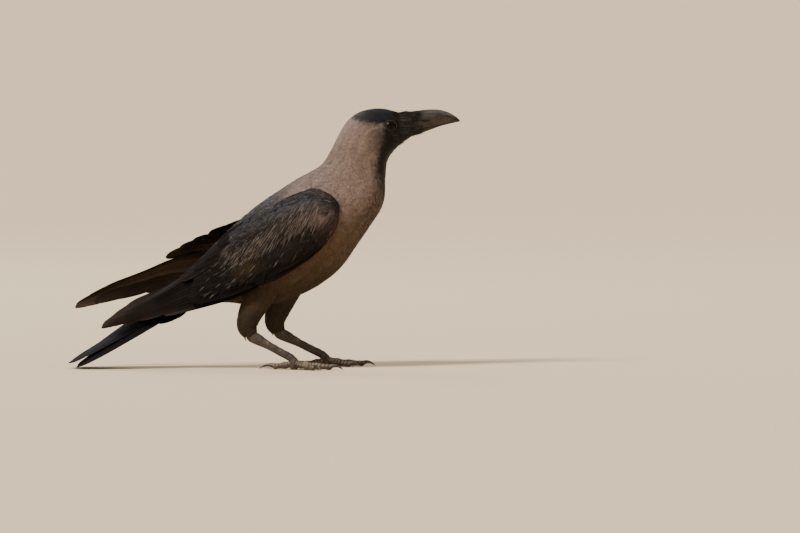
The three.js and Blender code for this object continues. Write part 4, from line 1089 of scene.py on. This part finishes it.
def wing_feather(side, tier, i, rng):
    """One feather of a tier, the i-th from its lowest."""
    t = i / (tier["count"] - 1)
    ends = (np.array(first) * (1 - t) + np.array(last) * t for first, last in (tier["roots"], tier["tips"]))
    (root_a, root_b), (tip_a, tip_b) = ends
    tip_a = (tier["tips_at"][i] if "tips_at" in tier else tip_a) + rng.normal(0, 0.005)
    tip_b += rng.normal(0, 0.008) - WING_POSE[side]["shut"] * tier.get("shuts", 0) * t
    level = tier["high"] + tier["step"] * i
    root_level = min(level, -ARM["sunk"] - ROOT_SUNK)

    def surface(share, across, high):
        a = part_way((root_a, tip_a), share)
        b = part_way((root_b, tip_b), share) + across / chord(a)
        lie = part_way((root_level, level), np.minimum(1, share / 0.24))
        return wing_at(side, a, b, lie + high)

    length = length_of(np.diff(surface(np.array([0.0, 1]), 0, 0), axis=0))
    return vane(surface, length, *(tier[key] for key in ("outer", "inner", "outline", "shingle")), rng)


for side in SIDES:
    for seed, (name, tier) in enumerate(WING_TIERS.items(), 60):
        rng = np.random.default_rng(seed)
        shells = [wing_feather(side, tier, i, rng) for i in range(tier["count"])]
        tones = np.array(tier["tone"]) * rng.uniform(0.85, 1.15, (tier["count"], 1))
        worn = np.full(tier["count"], tier["wear"])
        worn[0] *= 2  # the edge that shows in full
        vanes(f"{name}_{side}", shells, tones, seed, side == "left", worn, UNDERWING_AND_PAINTED_LIGHT,
              tier.get("tip_light", 1), flight_material, "wing_" + side)

    rings = []
    b = np.linspace(0.05, 0.95, 24)
    round_under = np.sin(math.pi * evenly(24)[1:-1]) ** 0.6
    for t in evenly(16):
        a = part_way((0.02, ARM["end"]), t**1.3)
        face = -part_way((0.2, ARM["sunk"]), smooth(a, 0.05, 0.3))
        deep = part_way(ARM["depth"], t) * max(0.35, float(smooth(a, -0.05, 0.12)))
        inner = wing_at(side, a, b[1:-1], face - ARM["least"] - deep * round_under)
        rings.append(np.concatenate([wing_at(side, a, b, face), inner[::-1]]))
    arm = closed_loft("arm_" + side, rings)
    dress(arm, -0.6, ARM_COLOUR)
    hand_over(arm, coat_material, "black")

# ---------------------------------------------------------------------------------------------------
# The wings' soft plumage: lesser coverts in a dense velvet over the shoulder, and long loose plumes
# that drape down and back from the scapulars, with paler barbs: partly worn edges, partly painted
# highlights where the strands catch the light.
SHOULDER = (0.021, 0.0145, 0.0135)
# the scapulars' slate tone, with a painted bluish sheen
SLATE = (0.024, 0.022, 0.025)
WING_MIDDLE = (0.0150, 0.0110, 0.0088)
WING_LOW = (0.0042, 0.0028, 0.0021)
# pale barbs: partly worn edges, partly painted highlights where the strands catch the light
PALE_EDGE_AND_GLINT = (0.098, 0.079, 0.067)
# Marks on the wing: their middles along and up it, how far they reach, their colour and strength.
WING_MARKS = (
    # a pale smudge where the lesser coverts' tips catch the light: painted highlight
    ((0.16, 0.60), (0.11, 0.085), (0.125, 0.088, 0.077), 0.85),
    # the shoulder's lower part lighter than its top: painted light
    ((0.03, 0.35), (0.08, 0.25), (0.064, 0.043, 0.034), 0.9),
    # a bluish patch over the scapulars: painted glint of their gloss
    ((0.28, 0.84), (0.13, 0.10), (0.050, 0.056, 0.068), 0.45),
    ((0.47, 0.33), (0.045, 0.17), (0.024, 0.0155, 0.0085), 1.0),
)


def wing_tone(a, b):
    """Colour and gloss on the wing by the place along and up it."""
    marks = []
    for (middle_a, middle_b), (reach_a, reach_b), colour, strength in WING_MARKS:
        off = ((a - middle_a) / reach_a) ** 2 + ((b - middle_b) / reach_b) ** 2
        marks.append((strength * np.exp(-off), colour))
    tone = overlaid(
        SHOULDER, (smooth(a, 0.1, 0.32), WING_MIDDLE),
        ((1 - smooth(b, 0.05, 0.5)) * smooth(a, 0.06, 0.2) * 0.95, WING_LOW),
        # the scapulars' band: slate, partly painted bluish sheen
        (smooth(b, 0.7, 0.86) * smooth(a, 0.1, 0.28) * (1 - smooth(a, 0.46, 0.6)), SLATE),
        (smooth(a, 0.42, 0.58) * (1 - smooth(b, 0.45, 0.75)) * 0.9, WING_LOW), *marks,
    )
    return tone, 0.15 + 0.25 * smooth(b, 0.3, 0.7)


wing_coat_material = plumage_material("wing_plumes", 0.42, 0.07)
# Each coat's stretch along and up the wing, its feathers' spacing, length and width, their turn down
# from the wing's length at its start and end, and its height over the wing's face at both.
WING_COATS = table("along up spacing size barbs turn depth stand pale level curl", {
    "hem_plumes": ((0.4, 0.66), (0.14, 0.98), (2.8, 3.4), (12, 1.8), 4,
                   (-0.6, -0.3), 0.8, 0.2, 0.05, (-0.6, -2.4), -0.1),
    "draping_plumes": ((0.12, 0.56), (0.2, 0.84), (2.0, 2.4), (15, 2.2), 6,
                       (-0.9, -0.35), 1.0, 0.35, 0.05, (0.6, -0.6), -0.15),
    "scapular_plumes": ((0.1, 0.52), (0.66, 0.95), (1.9, 2.2), (14, 2.2), 6,
                        (-0.25, -0.12), 1.2, 0.3, 0.1, (1.0, 0.6), -0.05),
    "lesser_coverts": ((0.0, 0.26), (0.05, 1.0), (1.2, 1.5), (6, 1.6), 5,
                       (-0.5, -0.75), 1.3, 0.08, 0.06, (0.0, 0.5), 0),
    "silky_strands": ((0.2, 0.56), (0.4, 0.8), (1.5, 1.4), (11, 0.3), 1,
                      (-1.1, -0.4), 0.3, 0.3, 0.5, (1.5, -0.1), -0.3),
    "short_strands": ((0.46, 0.62), (0.34, 0.6), (3.6, 3.2), (8, 0.34), 1,
                      (-0.3, -0.1), 0.3, 0.25, 0.1, (0.1, -1.8), -0.3),
    "edge_strands": ((0.03, 0.22), (0.08, 0.14), (7, 8), (6, 0.5), 1,
                     (-0.3, 0.05), 0.3, 0.1, 0.8, (0.9, 1.2), 0),
})
for side, sign in SIDES.items():
    for seed, (name, part) in enumerate(WING_COATS.items(), 80):
        def ramp(a, key):
            return np.interp(a, part["along"], part[key])

        plant_coat(
            f"{name}_{side}", lambda a, b: wing_at(side, a, b, ramp(a, "level")), part["along"], part["up"],
            sign, seed, part["spacing"], part["size"], part["barbs"], part["depth"], wing_tone,
            wing_coat_material, "black", stand=part["stand"], streak=(0.08, 0.05),
            turn=lambda a: ramp(a, "turn"), pale=(PALE_EDGE_AND_GLINT, part["pale"]), curl=part["curl"],
        )

# ---------------------------------------------------------------------------------------------------
# The tail: twelve long feathers that fan from the rump and fall off like a roof, with coverts over
# and under their roots.
TAIL = {"root": (-38, 0, 91), "slope": 31.2, "length": 160, "wide": (11, 25), "fall": (4, 8.6)}
TAIL_ROOT = 0.2
RECTRICES = {"pairs": 6, "outer": 6.5, "inner": 7.5, "shorter": 0.012, "shingle": 0.03, "step": 0.6}
# Towards their tips the feathers close up into two blades, of these pairs, with their tips this low.
BLADES = ({"pairs": (0, 3), "tip": -3.8, "reach": 1}, {"pairs": (4, 5), "tip": -10, "reach": 0.966})
BLUNT = ((0, 0.3), (0.1, 0.62), (0.3, 0.95), (0.6, 1), (0.8, 0.93), (0.92, 0.7), (0.975, 0.42), (1, 0.08))
TAIL_COVERTS = table("count tip wide level root step close", {
    "tail_coverts_upper": (9, 0.6, 5.6, 2.1, 2.8, 0.4, -0.8),
    "tail_coverts_under": (9, 0.52, 5.4, -12.5, -10, -0.4, 3.5),
})
TAIL_TONE = (0.0050, 0.0048, 0.0055)
TAIL_UNDERSIDE = (0.0120, 0.0105, 0.0100)
CORE_HALF = (7, 2.6)  # the fleshy root that the tail's feathers grow from, at its start and end
CORE_ACROSS = np.linspace(-0.9, 0.9, 13)


def tail_width(share):
    return part_way(TAIL["wide"], share)


def tail_at(share, across, high):
    """A place on the tail: the share of its length from the root, and -1 to 1 across it."""
    slope = math.radians(TAIL["slope"])
    along = np.array([-math.cos(slope), 0, -math.sin(slope)])
    out = np.array([-math.sin(slope), 0, math.cos(slope)])
    share, across, high = np.broadcast_arrays(np.asarray(share, float), across, high)
    fall = part_way(TAIL["fall"], smooth(share, 0.1, 0.5)) * np.abs(across) ** 1.4
    place = np.array(TAIL["root"]) + along * (TAIL["length"] * share)[..., None]
    return place + out * (high - fall)[..., None] + stack(0, across * tail_width(share), 0)


def rectrix(sign, pair, rng):
    shaft = (pair + 0.5) / RECTRICES["pairs"]
    blade = BLADES[pair > BLADES[0]["pairs"][1]]
    reach = blade["reach"] - RECTRICES["shorter"] * (pair - blade["pairs"][0]) / 3 + rng.normal(0, 0.003)
    level = RECTRICES["step"] * (1 if pair == 0 and sign > 0 else -pair)
    tip = blade["tip"] - 0.2 * (pair - blade["pairs"][0]) + 0.15 * sign
    gather = tip - level + TAIL["fall"][1] * shaft**1.4

    def surface(share, across, high):
        s = part_way((TAIL_ROOT, reach), share)
        high = level + high + gather * smooth(share, 0.45, 0.95)
        return tail_at(s, sign * (shaft - across / tail_width(s)), high)

    length = TAIL["length"] * (reach - TAIL_ROOT)
    return vane(surface, length, RECTRICES["outer"], RECTRICES["inner"], BLUNT, RECTRICES["shingle"], rng)


def tail_covert(part, i, rng):
    sides = (part["count"] - 1) / 2
    out = abs(i - sides)
    reach = part["tip"] - 0.015 * out + rng.normal(0, 0.006)

    def surface(share, across, high):
        s = part_way((TAIL_ROOT, reach), share)
        lie = part_way((part["root"], part["level"]), smooth(share, 0.05, 0.5)) + part["step"] * (sides - out)
        lie = lie + part["close"] * smooth(share, 0.45, 1.05)
        return tail_at(s, (i - sides) / sides * 0.7 + across / tail_width(s), lie + high)

    return vane(surface, TAIL["length"] * (reach - TAIL_ROOT), part["wide"], part["wide"], COVERT, 0, rng)


tail_material = vane_material("tail_feathers", (0.018, 0.016, 0.017), 0.03, (0.75, 0.88, 1), 0.5)
for side, sign in SIDES.items():
    rng = np.random.default_rng(90)
    shells = [rectrix(sign, pair, rng) for pair in range(RECTRICES["pairs"])]
    tones = np.array(TAIL_TONE) * rng.uniform(0.85, 1.15, (len(shells), 1))
    vanes("rectrices_" + side, shells, tones, 90, side == "left", 0.2, TAIL_UNDERSIDE,
          1, tail_material, "tail")

for seed, (name, part) in enumerate(TAIL_COVERTS.items(), 92):
    rng = np.random.default_rng(seed)
    shells = [tail_covert(part, i, rng) for i in range(part["count"])]
    tones = np.tile(TAIL_TONE, (len(shells), 1))
    vanes(name, shells, tones, seed, False, 0.3, TAIL_UNDERSIDE, 1, tail_material)

rings = []
for t in evenly(10):
    half = part_way(CORE_HALF, t)
    share = 0.1 + 0.3 * t
    over = tail_at(share, CORE_ACROSS, half * (1 - 0.4 * np.abs(CORE_ACROSS)))
    rings.append(np.concatenate([over, tail_at(share, CORE_ACROSS[::-1], -half)]))
core = closed_loft("tail_root", rings)
dress(core, -0.6)
hand_over(core, coat_material, "black")

# ---------------------------------------------------------------------------------------------------
# The bare legs and feet: bone in a sheath of horny scutes that overlap down the front of the tarsus
# and over each toe, dusty at their rims, with soft pads below. The bird stands on them.
TARSUS = {"deep": (5.3, 3.4, 4.3), "wide": (4.1, 2.7, 4.2), "scutes": 9, "step": 0.26, "knob": 0.09}
# Toes by their number, counted from the hind toe, and where each heads, in degrees outwards.
TOES = table("length claw radius pads scutes", {
    1: (19, 13, 3.1, 2, 7),
    2: (23, 9.5, 2.9, 2, 8),
    3: (34, 10.5, 3.1, 3, 12),
    4: (26, 8.5, 2.8, 3, 9),
})
TOE_FLAT = 0.35
TOE_HEADINGS = {"right": (-166, -16, 14, 46), "left": (-174, -20, 10, 44)}
BALL = {"radius": 4.3, "high": 3.6}
LIMB_SIDES = 32
TOE_STEP = 0.34
CLAW_ARCH = 2.2
CLAW_ROOT = 1.6  # how far a claw reaches back into its toe

scale = Shader("scales", {"Specular IOR Level": 0.4})
cells = scale.node("TexVoronoi", {"feature": "DISTANCE_TO_EDGE"}, {"Vector": scale.places(), "Scale": 700})
cracks = scale.between(cells, 0, 0.12)
dust = scale.noise(120, 4)
fine_dust = scale.noise(900, 2)
loose = (dust - 0.5) * 1.1 + (fine_dust - 0.5) * 0.6 + scale.attribute("dusty") * 0.75
dusty = scale.between(scale.attribute("rim") * 0.5 + loose, 0.45, 1.2)
scale_colour = scale.mix(scale.between(dust, 0.35, 0.7), (0.027, 0.021, 0.0165), (0.070, 0.053, 0.040))
scale_colour = scale.mix(dusty * 0.85, scale_colour, (0.36, 0.27, 0.19))
scale_colour = scale.mix((1 - cracks) * 0.7, scale_colour, (0.012, 0.009, 0.007))
scale_bump = scale.bump(cracks + fine_dust * 0.3, 0.5, 0.2)
scale_material = scale.finish(scale_colour, 0.62 + (fine_dust - 0.5) * 0.2, scale_bump)


def limb(name, path, size, raised, flat=None):
    """A tube along a path: size(t) is its half depth and half width, raised(t, up) the scutes' step."""
    t = evenly(len(path))
    along = unit(np.gradient(path, axis=0))
    across = unit(np.cross(along, (1e-3, 0, 1)))
    upward = np.cross(across, along)
    turns = circle(LIMB_SIDES)
    deep, wide = size(t)
    up = np.cos(turns)
    step = raised(t[:, None], up)
    rings = path[:, None] + upward[:, None] * ((deep[:, None] + step) * up)[..., None]
    rings = rings + across[:, None] * ((wide[:, None] + step) * np.sin(turns))[..., None]
    if flat is not None:
        rings[..., 2] = np.maximum(rings[..., 2], flat)
    return closed_loft(name, rings), np.concatenate([[0], step.ravel(), [0]])


def scute_steps(count, height, lowest):
    """The saw-toothed step of overlapping scutes along t, from the upper side down to `lowest`."""
    def raised(t, up):
        tooth = (t * count) % 1
        edge = smooth(tooth, 0, 0.75) * (1 - smooth(tooth, 0.93, 1))
        return height * edge * smooth(up, lowest, lowest + 0.3)

    return raised


def toe_path(side, number):
    """The way a toe heads from its ball, and its path down onto the floor."""
    sign = SIDES[side]
    heading = math.radians(TOE_HEADINGS[side][number - 1])
    along = np.array([math.cos(heading), sign * math.sin(heading), 0])
    foot = np.array(LEGS[side]["foot"], float) * (1, sign, 1)
    low = TOES[number]["radius"] - TOE_FLAT
    ends = ((0, foot[2] - 2.4), (0.3, low + 1.5), (0.62, low + 0.5), (1, low * 0.9))
    places = [foot * (1, 1, 0) + along * TOES[number]["length"] * far + (0, 0, high) for far, high in ends]
    return along, curve_at(places, evenly(96))


claw_horn = Shader("claw_horn", {"Specular IOR Level": 0.5})
lengthwise = claw_horn.noise(500, 3)
lights = claw_horn.between(lengthwise, 0.35, 0.75)
claw_colour = claw_horn.mix(lights, (0.010, 0.009, 0.008), (0.045, 0.037, 0.030))
claw_colour = claw_horn.mix(claw_horn.attribute("tip") * 0.5, claw_colour, (0.10, 0.082, 0.066))
claw_rough = claw_horn.between(lengthwise, 0.3, 0.8, 0.3, 0.5)
claw_material = claw_horn.finish(claw_colour, claw_rough, claw_horn.bump(lengthwise, 0.3, 0.12))

for side, sign in SIDES.items():
    heel = np.array(LEGS[side]["shank"][2]) * (1, sign, 1)
    foot = np.array(LEGS[side]["foot"]) * (1, sign, 1)
    line = [part_way((heel, foot), share) for share in (-TARSUS["knob"], 0.3, 0.65, 0.93)]
    path = curve_at([*line, foot + (0.6, 0, -3.6)], evenly(220))

    def size(t):
        knee = smooth(t, 0.06, 0.38)
        ball = smooth(t, 0.75, 1)
        ends = np.minimum(t / TARSUS["knob"], 1) * np.minimum((1 - t) / 0.07, 1)
        rounded = np.sqrt(np.clip(1 - (1 - ends) ** 2, 0.02, 1))
        for heel_half, middle_half, foot_half in (TARSUS["deep"], TARSUS["wide"]):
            yield part_way((part_way((heel_half, middle_half), knee), foot_half), ball) * rounded

    scutes = scute_steps(TARSUS["scutes"], TARSUS["step"], -0.1)
    tarsus, rims = limb("tarsus_scutes_" + side, path, size, scutes)
    mark(tarsus.data, rim=rims / TARSUS["step"], dusty=0 * rims)
    hand_over(tarsus, scale_material, "scale", "tarsus_" + side)

    toes = []
    rims = []
    for number, toe in TOES.items():
        along, path = toe_path(side, number)

        def size(t):
            swell = 1 + 0.12 * np.cos(math.tau * t * toe["pads"])
            rounded = np.sqrt(1 - 0.7 * np.clip((t - 0.92) / 0.08, 0, 1) ** 2)
            half = toe["radius"] * (1 - 0.24 * t) * swell * rounded
            return half, half * 0.92

        made, steps = limb("toe", path, size, scute_steps(toe["scutes"], TOE_STEP, 0.0), 0.0)
        toes.append(made)
        rims.append(steps / TOE_STEP)

        t = evenly(40)
        root = path[-1] - along * CLAW_ROOT
        arch = CLAW_ARCH * np.sin(math.pi * np.minimum(t * 0.9 + 0.1, 1))
        high = root[2] + arch - (root[2] - 0.4) * t**1.6 - 0.6 * (1 - t)
        line = root * (1, 1, 0) + along * ((toe["claw"] + CLAW_ROOT) * t)[:, None] + stack(0, 0, high)
        thick = toe["radius"] * 0.7 * (1 - t) ** 0.8 + 0.12
        claw, _ = limb(f"claw_horn_{side}_{number}", line, lambda t: (thick, thick * 0.72),
                       lambda t, up: -0.25 * thick[:, None] * smooth(-up, 0.75, 1), 0.02)
        mark(claw.data, tip=np.concatenate([[0], np.repeat(smooth(t, 0.6, 1), LIMB_SIDES), [1]]))
        hand_over(claw, claw_material, "claw", f"claw_{side}_{number}")

    turns, tilts = np.meshgrid(circle(32), np.linspace(0.1, 3.04, 20))
    ball = stack(np.cos(turns) * np.sin(tilts), np.sin(turns) * np.sin(tilts), -np.cos(tilts))
    ball = ball * BALL["radius"] + foot * (1, 1, 0) + (0, 0, BALL["high"])
    ball[..., 2] = np.maximum(ball[..., 2], 0)
    toes.append(closed_loft("ball", ball))
    rims.append(np.zeros(ball[..., 0].size + 2))
    sole = join(toes, "toes_" + side)
    rims = np.concatenate(rims)
    mark(sole.data, rim=rims, dusty=0 * rims + 0.6)
    hand_over(sole, scale_material, "scale", "foot_" + side)
